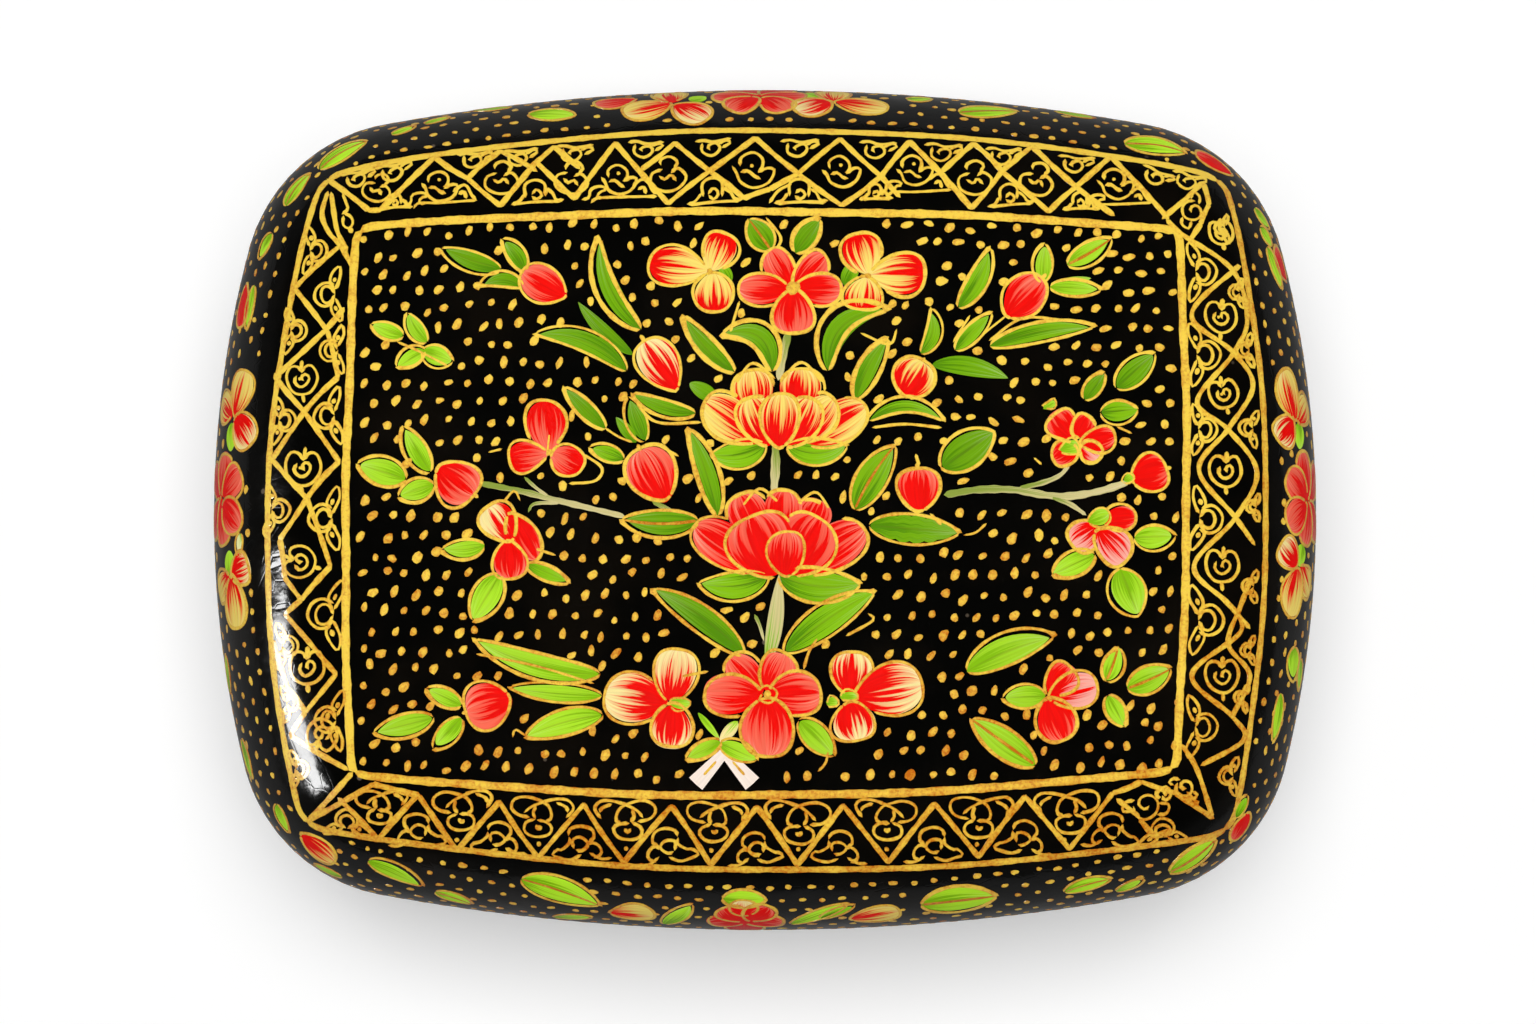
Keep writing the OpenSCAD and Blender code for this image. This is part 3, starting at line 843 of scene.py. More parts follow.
# Stems and branches: points, width.
FIELD_STEMS = (
    (((2.7, 19.2), (2.2, 16.6), (1.5, 13.4)), 0.95),
    (((1.2, 6.4), (1.2, 3.6), (1.0, 0.4)), 1.1),
    (((-1.2, -13.3), (-0.6, -14.6), (-0.1, -16.4)), 0.45),
    (((1.6, -12.5), (1.3, -14.2), (1.0, -16.2)), 0.45),
    (((-32.7, 1.7), (-28.1, 0.8), (-24.9, 0.0), (-22.1, -0.7), (-15.9, -2.2)), 0.72),
    (((-27.5, 2.4), (-26.2, 1.2), (-24.6, 0.0)), 0.5),
    (((-27.0, -1.7), (-26.3, -0.7), (-23.3, -0.6)), 0.45),
    (((20.4, 0.3), (24.3, 0.9), (28.4, 0.9), (32.1, 0.3), (34.8, 0.2), (38.3, 0.8), (41.7, 1.9)),
     0.9),
    (((28.9, 1.1), (31.6, 1.7), (33.7, 2.6), (34.8, 3.9)), 0.62),
    (((32.5, 0.2), (34.8, -0.7), (36.7, -2.0)), 0.62),
    (((-12.9, -0.4), (-10.6, -1.6), (-8.2, -2.6)), 0.6),
)

# Loose gold lines of the field: points, width.
FIELD_GOLD = (
    (((-42.2, 18.0), (-39.5, 16.8), (-36.2, 15.1)), 0.3),
    (((0.1, 32.3), (1.8, 30.0), (1.3, 28.5)), 0.35), (((-4.0, 18.9), (-2.9, 22.6)), 0.35),
    (((-15.2, 11.7), (-12.5, 8.7), (-7.2, 8.6)), 0.38),
    (((25.6, 18.0), (29.5, 20.6), (34.6, 20.4)), 0.32), (((21.5, 17.8), (23.5, 21.0)), 0.3),
    (((-18.3, 8.0), (-16.6, 6.9), (-15.0, 6.3)), 0.3),
    (((12.2, 8.0), (16.0, 8.4), (20.2, 8.0)), 0.36),
    (((22.6, -4.3), (24.0, -4.0), (25.3, -2.9)), 0.3),
    (((-19.4, -21.2), (-26.0, -19.2), (-32.9, -17.8)), 0.3),
    (((-27.1, -27.2), (-28.4, -26.4), (-28.7, -27.3)), 0.3),
    (((11.7, -13.2), (12.3, -14.0), (9.2, -15.8)), 0.36),
    (((6.0, -16.0), (5.0, -17.6), (4.4, -19.6)), 0.36),
    (((7.2, -28.8), (6.9, -30.2), (6.0, -31.2)), 0.34), (((24.6, 18.5), (27.6, 20.9)), 0.28),
    (((-24.9, 4.6), (-24.6, 7.4)), 0.26),
    (((-20.8, 5.0), (-18.6, 3.4), (-19.4, 1.9), (-22.4, 1.6)), 0.36),
    (((-29.9, -0.6), (-28.6, 0.8), (-27.9, -0.4)), 0.3), (((-26.2, -5.8), (-23.8, -6.6)), 0.36),
    (((17.6, 3.6), (17.2, 5.0)), 0.4), (((31.6, 3.8), (30.7, 4.6)), 0.3),
    (((-0.8, -22.0), (0.2, -21.4), (1.4, -22.2), (0.6, -23.4), (-0.6, -23.0), (-0.2, -22.2)), 0.28),
    (((-3.4, 13.0), (-1.4, 15.4), (1.2, 13.6)), 0.36),
    (((1.8, 13.4), (4.2, 15.5), (6.6, 13.2)), 0.36),
    (((-2.6, -1.0), (-0.6, 1.0), (1.6, -0.6)), 0.34),
    (((3.6, -0.8), (5.8, 0.6), (7.4, -1.4)), 0.34),
    (((-12.7, 6.3), (-9.8, 4.7)), 0.3), (((10.9, 18.9), (14.2, 17.6), (15.1, 19.4)), 0.34),
    (((40.2, 8.2), (42.0, 7.4)), 0.3), (((-31.6, 5.2), (-30.0, 5.6)), 0.3),
    (((18.8, -1.8), (20.2, -3.2)), 0.36), (((-9.6, -20.4), (-6.4, -19.8)), 0.34),
)

# Gold eyes of the field's flowers: centre, size.
FIELD_EYES = ((3.2, 24.1, 1.9), (-24.6, 5.2, 0.8), (0.3, -22.4, 1.0), (-6.3, 26.0, 0.8),
              (11.8, 25.5, 0.8))

# The two cut stalks at the foot of the plant.
STALK_ROOT, STALK_TIPS = (-4.6, -29.0), ((-7.9, -32.6), (-1.4, -32.6))


# ---- The gold border ------------------------------------------------------------------------

# The two frame lines: corners and the middles of the sides, from the back left clockwise, and
# the length over which a corner is softened.
INNER_CORNERS = ((-46.9, 31.2), (47.5, 31.0), (46.8, -31.0), (-47.1, -31.4))
INNER_MIDS = ((0.0, 33.0), (48.2, 1.0), (0.0, -33.9), (-47.9, -3.0))
OUTER_CORNERS = ((-51.2, 37.7), (53.2, 37.8), (53.7, -38.2), (-53.2, -37.3))
OUTER_MIDS = ((0.0, 42.9), (57.6, 2.0), (0.0, -42.4), (-57.1, 0.0))
INNER_SOFT, OUTER_SOFT = 3.2, 5.5


def bowed(start, middle, end):
    """An arc-like line from start to end: a parabola that passes its middle point halfway. The
    end point is left out, because the next side begins there."""
    t = np.linspace(0, 1, 200, endpoint=False)[:, None]
    start, middle, end = (np.array(p, float) for p in (start, middle, end))
    return start * (1 - t) + end * t + 4 * t * (1 - t) * (middle - (start + end) / 2)


def frame_sides(corners, mids, soft):
    """The four bowed sides of a frame, their corners rounded by averaging each point with
    those within half of soft along the line; each side runs on a little into the next."""
    path = np.concatenate([bowed(corners[k], mids[k], corners[(k + 1) % 4]) for k in range(4)])
    count, step = len(path) // 4, np.hypot(*np.diff(path, axis=0).T).mean()
    run = 2 * int(soft / step / 2) + 1
    wrapped = np.vstack([path[-run:], path, path[:run]])
    smooth = np.stack([np.convolve(axis, np.ones(run) / run, "same") for axis in wrapped.T], -1)
    smooth = np.roll(smooth[run:-run], 1, 0)
    return [np.take(smooth, np.arange(k * count, (k + 1) * count + 3), 0, mode="wrap")
            for k in range(4)]


# Straight lines of the border: the points that each one turns at.
ZIGZAGS = (
    # bottom band: one zigzag from side to side, and strokes that cross it near both ends
    ((-52.6, -36.8), (-44.6, -32.6), (-39.4, -33.9), (-35.2, -40.2), (-30.2, -34.6), (-25.9, -41.0),
     (-20.6, -34.9), (-16.1, -41.5), (-10.6, -35.1), (-6.2, -41.8), (-0.9, -35.2), (3.7, -41.8),
     (8.9, -35.0), (14.1, -41.5), (19.3, -34.8), (24.4, -40.9), (29.6, -34.0), (34.8, -40.0),
     (39.6, -33.6), (42.8, -32.3), (46.8, -33.6), (51.3, -36.4)),
    ((-48.6, -34.3), (-44.2, -38.9), (-39.6, -33.9)), ((40.2, -34.4), (42.6, -36.2)),
    ((42.8, -36.6), (44.6, -38.6), (46.4, -37.8)),
    # top band: one from side to side, and shorter ones that cross it
    ((-50.6, 37.3), (-45.6, 33.3), (-44.2, 33.3), (-38.2, 39.8), (-34.2, 37.0), (-30.4, 33.7),
     (-26.4, 39.0), (-21.9, 34.5), (-17.3, 41.3), (-11.1, 33.9), (-6.3, 37.8), (-1.1, 41.9),
     (3.9, 37.4), (8.8, 33.7), (13.4, 37.2), (16.7, 41.5), (23.7, 33.4), (27.3, 37.9),
     (30.9, 41.1), (35.8, 36.0), (40.0, 39.9), (46.3, 32.4)),
    ((-34.2, 37.0), (-30.6, 40.4), (-26.4, 37.9)), ((-26.4, 38.9), (-24.4, 40.9), (-21.4, 38.2)),
    ((-14.2, 38.0), (-10.4, 41.3), (-6.3, 37.7), (-2.4, 34.5), (0.6, 35.6), (3.9, 37.5),
     (8.7, 41.8), (13.4, 37.1), (15.4, 34.8)),
    ((20.4, 37.8), (24.1, 41.3), (27.3, 37.8), (32.6, 33.0), (35.8, 36.0), (40.0, 32.7)),
    # left band, in the same way
    ((-49.0, 29.0), (-54.2, 24.4), (-50.2, 19.3), (-48.9, 13.9), (-52.8, 10.0), (-56.6, 4.6),
     (-52.4, 0.0), (-49.6, -7.8), (-53.0, -11.6), (-54.9, -13.2), (-48.9, -20.1), (-52.5, -24.4),
     (-54.3, -27.0), (-47.6, -30.9)),
    ((-48.4, 21.8), (-50.5, 19.3), (-56.4, 14.2), (-52.8, 10.0), (-48.7, 4.2), (-52.4, 0.0),
     (-55.6, -4.6), (-55.0, -9.0), (-53.0, -11.6)),
    ((-56.4, -16.2), (-54.6, -21.6), (-52.5, -24.4)),
    # the mitred corners
    ((45.8, 32.4), (50.6, 36.9)), ((50.8, 36.8), (51.3, 34.2), (50.2, 31.8), (49.0, 30.0)),
    ((-47.1, -31.4), (-52.2, -36.6)),
)

# Lines of the border drawn in soft curves without lifting the brush: the right band and the
# corners next to it, and two at the upper left corner.
OGEES = (
    ((46.1, 32.3), (48.3, 30.3), (54.0, 26.5), (55.6, 21.0), (53.8, 16.8), (49.5, 11.2),
     (53.1, 8.0), (56.5, 3.2), (53.8, -2.2), (49.0, -7.7), (52.8, -11.8), (55.6, -14.8)),
    ((55.0, 27.0), (54.0, 26.4), (48.9, 21.0), (53.8, 16.8), (56.1, 13.0), (53.1, 8.0), (49.6, 3.2),
     (53.8, -2.2), (56.2, -5.4)),
    ((52.8, -11.8), (54.4, -15.2), (48.6, -20.3), (53.4, -25.0), (54.8, -27.6), (49.6, -30.6)),
    ((55.9, -8.8), (54.4, -12.4), (53.0, -16.6), (55.6, -20.2), (53.4, -25.0)),
    ((47.5, -28.1), (49.3, -30.9), (51.4, -36.6)),
    ((-50.6, 35.9), (-51.2, 33.1), (-50.3, 30.8), (-48.9, 29.2), (-47.3, 26.4)),
    ((-50.2, 35.7), (-49.7, 32.9), (-49.2, 30.7), (-48.0, 28.4)),
)

# Scrolls, in millimetres about their own middle, as they stand when not turned. Each is a list
# of lines drawn without lifting the brush.
TRIPLE = (((-1.1, -2.5), (-2.6, -2.2), (-3.35, -1.4), (-3.1, -0.4), (-1.9, 0.0), (-0.5, -0.2),
           (0.9, -0.9), (1.4, -2.3), (0.6, -2.9)),
          ((-1.9, -2.0), (-1.1, -1.2), (0.1, -0.6), (1.0, -0.35)),
          ((-0.5, -1.0), (-0.75, -1.9), (-0.4, -2.6)),
          ((0.4, -0.5), (1.9, -0.1), (3.3, -0.1), (4.0, -1.0), (3.1, -2.2)),
          ((1.9, -0.4), (3.1, -1.0), (3.3, -1.6)),
          ((-0.4, -2.6), (-1.6, -3.1), (-1.7, -4.0), (-0.9, -4.6), (0.3, -4.65), (1.3, -4.3),
           (1.6, -3.4), (0.9, -2.8), (-0.3, -2.7)),
          ((-0.4, -3.3), (0.0, -3.7), (0.4, -3.4)))
ARCH = (((-1.35, 1.0), (-1.1, 1.8), (0.1, 2.15), (1.35, 1.65), (1.5, 0.65), (0.85, 0.15)),
        ((-0.9, -0.45), (-1.0, 0.55), (-0.1, 0.8), (0.65, 0.4), (0.75, -0.2), (-0.1, -0.8),
         (-0.75, -0.6)),
        ((-0.1, -1.2), (-1.4, -1.7), (-2.6, -1.45), (-3.5, -1.05), (-2.85, -0.45), (-2.35, -0.45),
         (-1.3, 0.3), (-1.35, 1.0)),
        ((0.6, -0.2), (1.35, 0.15), (2.1, -0.45), (2.2, -1.3), (1.35, -1.7)),
        ((0.85, -1.05), (2.1, -1.8), (3.5, -1.8)))
BUD = (((0.0, 0.3), (-0.9, 0.8), (-0.9, 1.7), (0.1, 2.1), (1.0, 1.6), (0.9, 0.8), (0.0, 0.3)),
       ((-1.2, 0.4), (-1.5, 1.8), (-0.4, 2.9), (0.9, 2.6), (1.6, 1.5), (1.2, 0.3)),
       ((0.5, 0.3), (1.6, 0.9), (2.7, 0.5), (3.6, -0.4), (2.4, -0.6), (1.2, -0.1), (0.5, 0.3)),
       ((-0.5, 0.3), (-1.6, 0.9), (-2.7, 0.5), (-3.6, -0.4), (-2.4, -0.6), (-1.2, -0.1),
        (-0.5, 0.3)),
       ((1.5, 0.4), (2.2, 0.1)), ((-1.5, 0.4), (-2.2, 0.1)))
TREFOIL = (((-0.7, 0.9), (-0.7, 1.4), (0.1, 1.75), (0.8, 1.2), (0.4, 0.6)),
           ((-0.5, 0.6), (-1.5, 0.2), (-1.5, -0.8), (-0.4, -1.4), (0.8, -1.2), (1.4, -0.2),
            (0.7, 0.6), (0.1, 0.2)),
           ((-0.9, 0.0), (-0.35, -0.4), (0.1, 0.0), (0.6, -0.6)))
HEAD = (((-1.2, 0.7), (-1.2, 1.65), (-0.1, 2.25), (0.95, 1.6), (0.95, 0.6), (0.5, 0.25)),
        ((-2.1, 0.7), (-1.5, 0.0), (-1.1, -0.95), (0.25, -1.45), (1.7, -0.8), (2.2, 0.5),
         (1.4, 0.7), (0.6, 0.1)),
        ((-1.2, 0.1), (-0.4, 0.3), (0.2, -0.3), (0.9, -0.5)))
FEET = (((-4.7, -2.6), (-3.7, -2.3), (-3.65, -1.4), (-2.8, -0.95), (-1.9, -1.05), (-1.65, -1.5),
         (-2.35, -1.65), (-2.8, -2.3), (-1.9, -2.5)),
        ((1.65, -1.05), (2.8, -0.25), (3.5, -0.5), (4.0, -1.65), (4.7, -2.25)),
        ((2.35, -1.5), (3.05, -1.2), (3.3, -2.1)),
        ((-3.5, -3.05), (-2.8, -2.4), (0.0, -2.4), (4.7, -2.4)))
HILL = (((-1.2, -0.4), (-1.25, 1.2), (0.0, 1.8), (1.0, 1.2), (1.0, -0.4)),
        ((-0.6, -0.1), (0.0, 0.55), (0.65, -0.1), (0.0, -0.7), (-0.6, -0.2)),
        ((-1.3, 0.1), (-2.1, -0.9), (-3.05, -1.2)),
        ((1.0, 0.7), (1.9, 0.1), (2.35, -0.8), (3.3, -0.8)),
        ((-2.8, -1.2), (0.0, -1.0), (3.05, -0.95)))
CURLS = (((-2.1, 0.8), (-0.95, 0.95), (0.25, 0.7), (2.3, 1.1)),
         ((-1.2, 0.6), (-1.2, -0.6), (0.0, -1.05), (0.95, -0.25), (0.5, 0.5), (-0.5, 0.1),
          (-0.25, -0.35)),
         ((0.7, 0.35), (1.65, 0.85), (2.25, 0.6), (1.2, -0.1)))
MEDALLION = (((0.0, 0.7), (-0.5, 1.5), (-1.4, 1.5), (-1.9, 0.4), (-1.65, -0.9), (-0.8, -1.7),
              (0.2, -1.9), (1.1, -1.6), (1.8, -0.6), (1.85, 0.5), (1.3, 1.55), (0.5, 1.5),
              (0.0, 0.7)),
             ((0.0, 1.1), (0.1, 2.2)), ((0.0, -1.9), (0.1, -2.9)),
             ((-0.6, 0.5), (-0.9, -0.3), (-0.2, -1.0), (0.6, -0.7), (0.9, 0.1), (0.3, 0.6),
              (-0.1, 0.1), (0.2, -0.3)))
WHORL = (((-0.6, 1.4), (-1.4, 0.6), (-1.3, -0.6), (-0.2, -1.3), (1.0, -0.9), (1.3, 0.3), (0.6, 1.1),
          (-0.2, 0.9), (-0.4, 0.1), (0.2, -0.2)),
         ((-1.2, 1.2), (-1.7, 2.2), (-0.7, 2.4), (0.0, 1.5)),
         ((0.9, -1.0), (1.3, -2.1), (0.3, -2.4), (-0.3, -1.5)))


def turned(line, at, turn, size, flip):
    """A scroll's line scaled, mirrored, turned by degrees and moved to its place."""
    p = np.array(line, float) * (size * flip, size)
    c, s = math.cos(math.radians(turn)), math.sin(math.radians(turn))
    return p @ np.array([[c, s], [-s, c]]) + at


def border_scrolls():
    """Every scroll of the border: its lines, or None for a dot, then its place, turn in degrees,
    size, and -1 where it is mirrored."""
    yield from bottom_band()
    yield from top_band()
    yield from side_bands()


def bottom_band():
    """A triple scroll over each outer turn of the zigzag, and an arch under each inner one."""
    inner = (-39.4, -30.2, -20.6, -10.6, -0.9, 8.9, 19.3, 29.6, 39.6)
    for k, (a, b) in enumerate(zip(inner[:-1], inner[1:])):
        x = (a + b) / 2
        y = -34.7 + 2.2 * (x / 47) ** 2
        yield TRIPLE, (x, y), 0, 0.97, 1 if k in (0, 1, 3, 6) else -1
        yield None, (x - 0.3, y - 5.4), 0, 0.3, 1
    for k, x in enumerate((-39.8, -30.4, -20.9, -11.2, -1.2, 8.6, 19.2, 29.5, 39.6)):
        yield ARCH, (x, -40.0 + 2.1 * (x / 40) ** 2), 0, 0.97, 1 if k in (1, 2, 5, 7) else -1
    yield TRIPLE, (-43.9, -33.4), -2, 0.8, 1
    yield BUD, (-47.9, -38.0), -8, 0.85, 1
    yield WHORL, (43.6, -35.2), 60, 1.0, 1
    yield BUD, (45.6, -38.9), 8, 0.8, 1
    yield WHORL, (47.8, -33.0), 30, 0.7, 1
    cross = (((0.0, 0.0), (1.1, -0.9), (1.6, -1.6)), ((0.7, -1.6), (1.7, -0.9)))
    yield cross, (48.2, -33.6), 0, 1.0, 1
    yield TREFOIL, (45.4, -33.7), 100, 0.55, 1


def top_band():
    """Heads and trefoils in the diamonds, curls and hills in the triangles beside them."""
    for x, y, size in ((-37.5, 35.8, 1.0), (-16.8, 36.4, 1.0), (-1.5, 37.4, 1.12),
                       (8.8, 37.4, 1.05), (17.2, 37.6, 1.0), (40.3, 36.0, 0.98)):
        yield HEAD, (x, y), 0, size, 1
        yield None, (x - 0.05, y + 1.1), 0, 0.24, 1
    for x, y in ((-37.5, 36.2), (-16.8, 36.8), (17.2, 37.4), (40.4, 36.0)):
        yield FEET, (x, y), 0, 0.9, 1
    for x, y, turn, size in ((-30.3, 36.9, 0, 1.25), (-22.0, 36.9, 0, 1.25), (-10.9, 37.2, 0, 1.35),
                             (24.2, 36.9, 8, 1.25), (31.5, 36.7, -8, 1.3), (-44.6, 35.9, -20, 1.1)):
        yield TREFOIL, (x, y), turn, size, 1
    for x, y, turn in ((-33.6, 39.3, 0), (-28.3, 39.6, 4), (-22.2, 40.1, 0), (-14.0, 40.4, 0),
                       (-6.1, 40.6, 0), (3.8, 40.6, 0), (12.9, 40.5, 0), (20.6, 40.1, -4),
                       (27.4, 39.7, -4), (35.8, 38.9, -6), (45.2, 37.4, -22), (49.0, 37.0, -14),
                       (-47.0, 37.2, 14), (-42.9, 38.1, 12)):
        yield CURLS, (x, y), turn, 0.98, 1
    for x, y, size in ((-26.3, 35.0, 0.95), (-5.9, 35.1, 1.0), (4.0, 35.2, 1.0), (28.1, 34.7, 0.9),
                       (36.2, 34.0, 0.7), (-42.4, 34.2, 0.6), (12.6, 35.0, 0.6)):
        yield HILL, (x, y), 0, size, 1
    stray = (((0.4, -1.2), (1.3, 0.3), (2.7, 1.2)),)
    yield stray, (0.2, 35.2), 0, 1.0, 1
    yield WHORL, (49.2, 33.4), -40, 0.85, 1
    corner = (((-0.7, 3.0), (-0.2, 1.8), (0.1, 1.0), (-0.5, 0.5)),
              ((-0.4, 0.6), (0.5, 0.3), (0.9, -0.4), (0.5, -1.1), (-0.2, -0.8), (-0.3, 0.3)),
              ((0.5, -1.1), (0.9, -1.7)))
    yield corner, (-48.3, 32.4), 0, 1.0, 1


def side_bands():
    """Medallions in the diamonds, and buds in the triangles, their tips to the diamonds."""
    for x, y, size, turn in ((52.6, 31.0, 0.8, 10), (52.3, 21.0, 0.95, 0), (52.5, 12.2, 0.92, 8),
                             (52.8, 3.3, 1.0, 0), (52.3, -7.7, 1.05, 0), (52.3, -20.2, 1.05, 0),
                             (-53.2, 13.9, 0.98, 0), (-53.0, 3.6, 1.1, 0), (-53.2, -7.2, 1.0, 70),
                             (-52.2, -19.2, 1.02, 0), (-50.6, -27.0, 0.95, 160)):
        yield MEDALLION, (x, y), turn, size, 1
        yield None, (x - 0.1, y - 0.1), 0, 0.2, 1
    for turn, places in (
            (-90, ((49.2, 26.2, 1.0), (49.2, 16.4, 1.0), (49.4, 7.9, 0.8), (49.3, -2.3, 1.05),
                   (49.0, -14.0, 1.1), (48.8, -26.0, 1.0))),
            (90, ((-49.0, 23.6, 0.9), (-48.7, 17.0, 0.8), (-48.9, 9.4, 0.9), (-49.2, -2.2, 1.05),
                  (-49.0, -13.4, 1.1), (-48.6, -25.4, 0.95))),
            (90, ((56.0, 17.3, 0.55), (56.3, 8.2, 0.62), (56.6, -0.9, 0.48), (56.1, -10.0, 0.55),
                  (55.9, -17.4, 0.5), (54.9, 23.9, 0.5), (53.2, 31.6, 0.5), (55.2, -22.8, 0.5),
                  (53.9, -31.6, 0.65))),
            (-90, ((-54.8, 19.4, 0.8), (-56.1, 9.0, 0.75), (-56.8, -1.2, 0.8),
                   (-55.6, -16.8, 0.75), (-54.9, -23.4, 0.6), (-52.7, 28.8, 0.8),
                   (-53.9, -31.0, 0.65)))):
        for x, y, size in places:
            yield BUD, (x, y), turn, size, 1


# ---- The sides ------------------------------------------------------------------------------

# Flower groups of the lid's sides, in s and up: style, then root, tip, width of each petal.
SIDE_FLOWERS = (
    # back: trio, rosette, trio
    ("coral", ((99.8, -16.6, 103.2, -21.0, 3.6), (99.8, -16.6, 96.4, -21.0, 3.6),
               (99.8, -16.4, 105.8, -16.6, 3.8), (99.8, -16.4, 94.4, -16.6, 3.8),
               (99.6, -16.0, 96.8, -12.4, 3.9), (100.4, -16.0, 103.4, -12.4, 3.9))),
    ("cream", ((110.2, -14.9, 110.8, -19.6, 4.0), (110.2, -14.6, 116.0, -12.8, 4.4))),
    ("flame", ((109.9, -14.4, 106.2, -10.8, 4.2),)),
    ("cream", ((91.2, -15.2, 91.4, -19.8, 4.0), (91.0, -14.9, 84.7, -13.7, 4.0))),
    ("flame", ((91.6, -15.2, 95.6, -12.4, 4.3),)),
    # right side
    ("coral", ((0.3, -16.6, 4.6, -20.4, 3.6), (0.3, -16.6, -4.0, -20.4, 3.6),
               (0.3, -16.2, 6.0, -14.9, 3.9), (0.3, -16.2, -5.0, -15.2, 3.9),
               (0.5, -15.8, 3.4, -11.6, 4.1), (0.1, -15.8, -2.9, -11.6, 4.1))),
    ("cream", ((9.6, -14.4, 12.2, -18.0, 3.6), (9.7, -13.8, 15.9, -12.5, 4.4))),
    ("flame", ((9.8, -13.6, 7.2, -10.2, 3.9),)),
    ("cream", ((-7.4, -14.6, -10.4, -18.0, 3.6), (-7.6, -13.9, -13.6, -12.9, 4.4))),
    ("flame", ((-7.4, -13.7, -5.0, -10.4, 3.9),)),
    # left side
    ("coral", ((198.0, -16.6, 194.2, -20.6, 3.6), (198.0, -16.6, 202.2, -20.4, 3.6),
               (198.0, -16.4, 192.6, -15.4, 3.9), (198.0, -16.4, 203.8, -15.6, 3.9),
               (197.8, -16.0, 195.0, -11.9, 4.1), (198.4, -16.0, 201.8, -12.0, 4.1))),
    ("cream", ((188.5, -14.6, 186.4, -18.6, 3.9), (188.4, -14.0, 182.8, -12.6, 4.6))),
    ("flame", ((188.4, -13.8, 192.0, -10.4, 4.2),)),
    ("cream", ((207.4, -14.8, 209.6, -18.4, 3.9), (207.4, -14.3, 213.9, -13.9, 4.6))),
    ("flame", ((207.2, -14.0, 206.4, -10.4, 4.0),)),
    # front
    ("pale", ((295.6, -16.2, 295.5, -12.9, 3.2),)),
    ("scarlet", ((295.6, -17.4, 295.6, -23.0, 4.4), (295.6, -17.2, 291.4, -18.4, 3.8),
                 (295.6, -17.2, 300.0, -18.4, 3.8), (295.3, -17.6, 293.2, -14.2, 3.6),
                 (295.9, -17.6, 298.4, -14.2, 3.6))),
)

# Buds and leaves of the lid's sides, in s and up, with the same columns as the field's.
SIDE_BUDS = (
    (279.9, -16.4, 285.2, -16.4, 4.0, "cream"), (308.0, -17.4, 313.8, -15.8, 4.2, "cream"),
    (241.0, -14.6, 246.8, -15.4, 4.3, "gold"), (114.4, -16.6, 119.4, -15.6, 3.4, "coral"),
    (172.4, -16.8, 177.8, -15.8, 3.2, "scarlet"), (41.6, -16.4, 47.2, -14.6, 3.4, "scarlet"),
    (26.4, -18.2, 30.8, -17.0, 3.2, "scarlet"), (359.0, -14.6, 355.0, -16.4, 3.2, "scarlet"),
)

SIDE_LEAVES = (
    # back
    (127.3, -14.6, 122.0, -13.2, 2.7, 0.2, "lc"), (143.6, -14.6, 141.2, -15.8, 1.4, 0, "l"),
    (139.6, -16.2, 137.0, -17.4, 1.4, 0, "l"), (154.4, -13.4, 147.2, -14.2, 3.2, 0.2, "lr"),
    (161.4, -13.4, 156.2, -14.0, 2.8, 0.2, "lr"), (82.6, -17.2, 79.8, -18.6, 2.0, 0, "l"),
    (76.4, -14.0, 69.7, -16.2, 2.9, 0.2, "lr"), (56.6, -11.9, 48.6, -13.5, 3.3, 0.3, "lr"),
    (108.2, -15.2, 106.4, -16.6, 2.2, 0, "ln"), (92.8, -16.2, 94.8, -17.8, 2.4, 0, "ln"),
    (36.4, -15.6, 33.6, -17.0, 2.0, 0, "l"), (65.0, -19.4, 60.6, -18.2, 2.2, 0, "l"),
    (134.0, -20.4, 129.6, -18.6, 2.4, 0, "l"),
    # right
    (33.6, -14.6, 31.0, -15.8, 1.8, 0, "l"), (30.8, -14.6, 25.8, -15.8, 2.2, 0, "l"),
    (9.6, -14.9, 6.4, -14.4, 2.5, 0, "ln"), (-4.9, -14.8, -7.6, -14.2, 2.5, 0, "ln"),
    (-17.2, -14.8, -20.6, -15.8, 2.8, 0, "lc"), (-22.9, -13.4, -28.3, -13.8, 1.9, 0.3, "l"),
    (-18.4, -17.4, -21.6, -18.6, 2.0, 0, "l"),
    # left
    (165.9, -13.4, 169.0, -14.6, 1.9, 0, "l"), (172.6, -14.2, 177.6, -14.0, 1.9, 0, "l"),
    (189.2, -14.6, 192.6, -14.3, 2.5, 0, "ln"), (207.2, -14.6, 204.4, -14.4, 2.5, 0, "ln"),
    (202.6, -11.9, 204.8, -12.3, 1.2, 0, "p"), (226.6, -18.4, 231.4, -18.0, 2.0, 0, "l"),
    (236.0, -14.6, 239.4, -16.4, 2.0, 0, "l"), (221.0, -20.0, 216.6, -18.8, 2.2, 0, "l"),
    # front
    (251.2, -12.6, 257.6, -15.4, 2.4, 0.3, "l"), (259.6, -16.6, 263.6, -18.6, 2.4, 0.2, "lr"),
    (269.6, -11.6, 278.6, -15.0, 4.0, 0.4, "lr"), (286.4, -19.6, 289.4, -14.2, 2.4, 0, "l"),
    (301.2, -18.6, 307.6, -13.9, 2.1, 0.2, "l"), (304.6, -17.0, 308.2, -14.4, 1.5, 0, "m"),
    (316.4, -14.8, 325.0, -14.4, 5.0, 0.2, "lrb"), (333.2, -15.4, 338.4, -14.2, 2.4, 0.2, "lr"),
    (339.2, -17.4, 342.0, -15.6, 1.6, 0, "l"), (345.8, -15.2, 352.8, -13.6, 3.3, 0.2, "lrb"),
    (357.4, -13.2, 360.4, -12.6, 1.6, 0, "m"), (293.2, -12.6, 298.0, -12.6, 2.8, 0, "lc"),
    (273.4, -20.4, 277.6, -18.8, 2.0, 0, "l"), (248.0, -18.4, 244.6, -19.6, 1.8, 0, "l"),
)

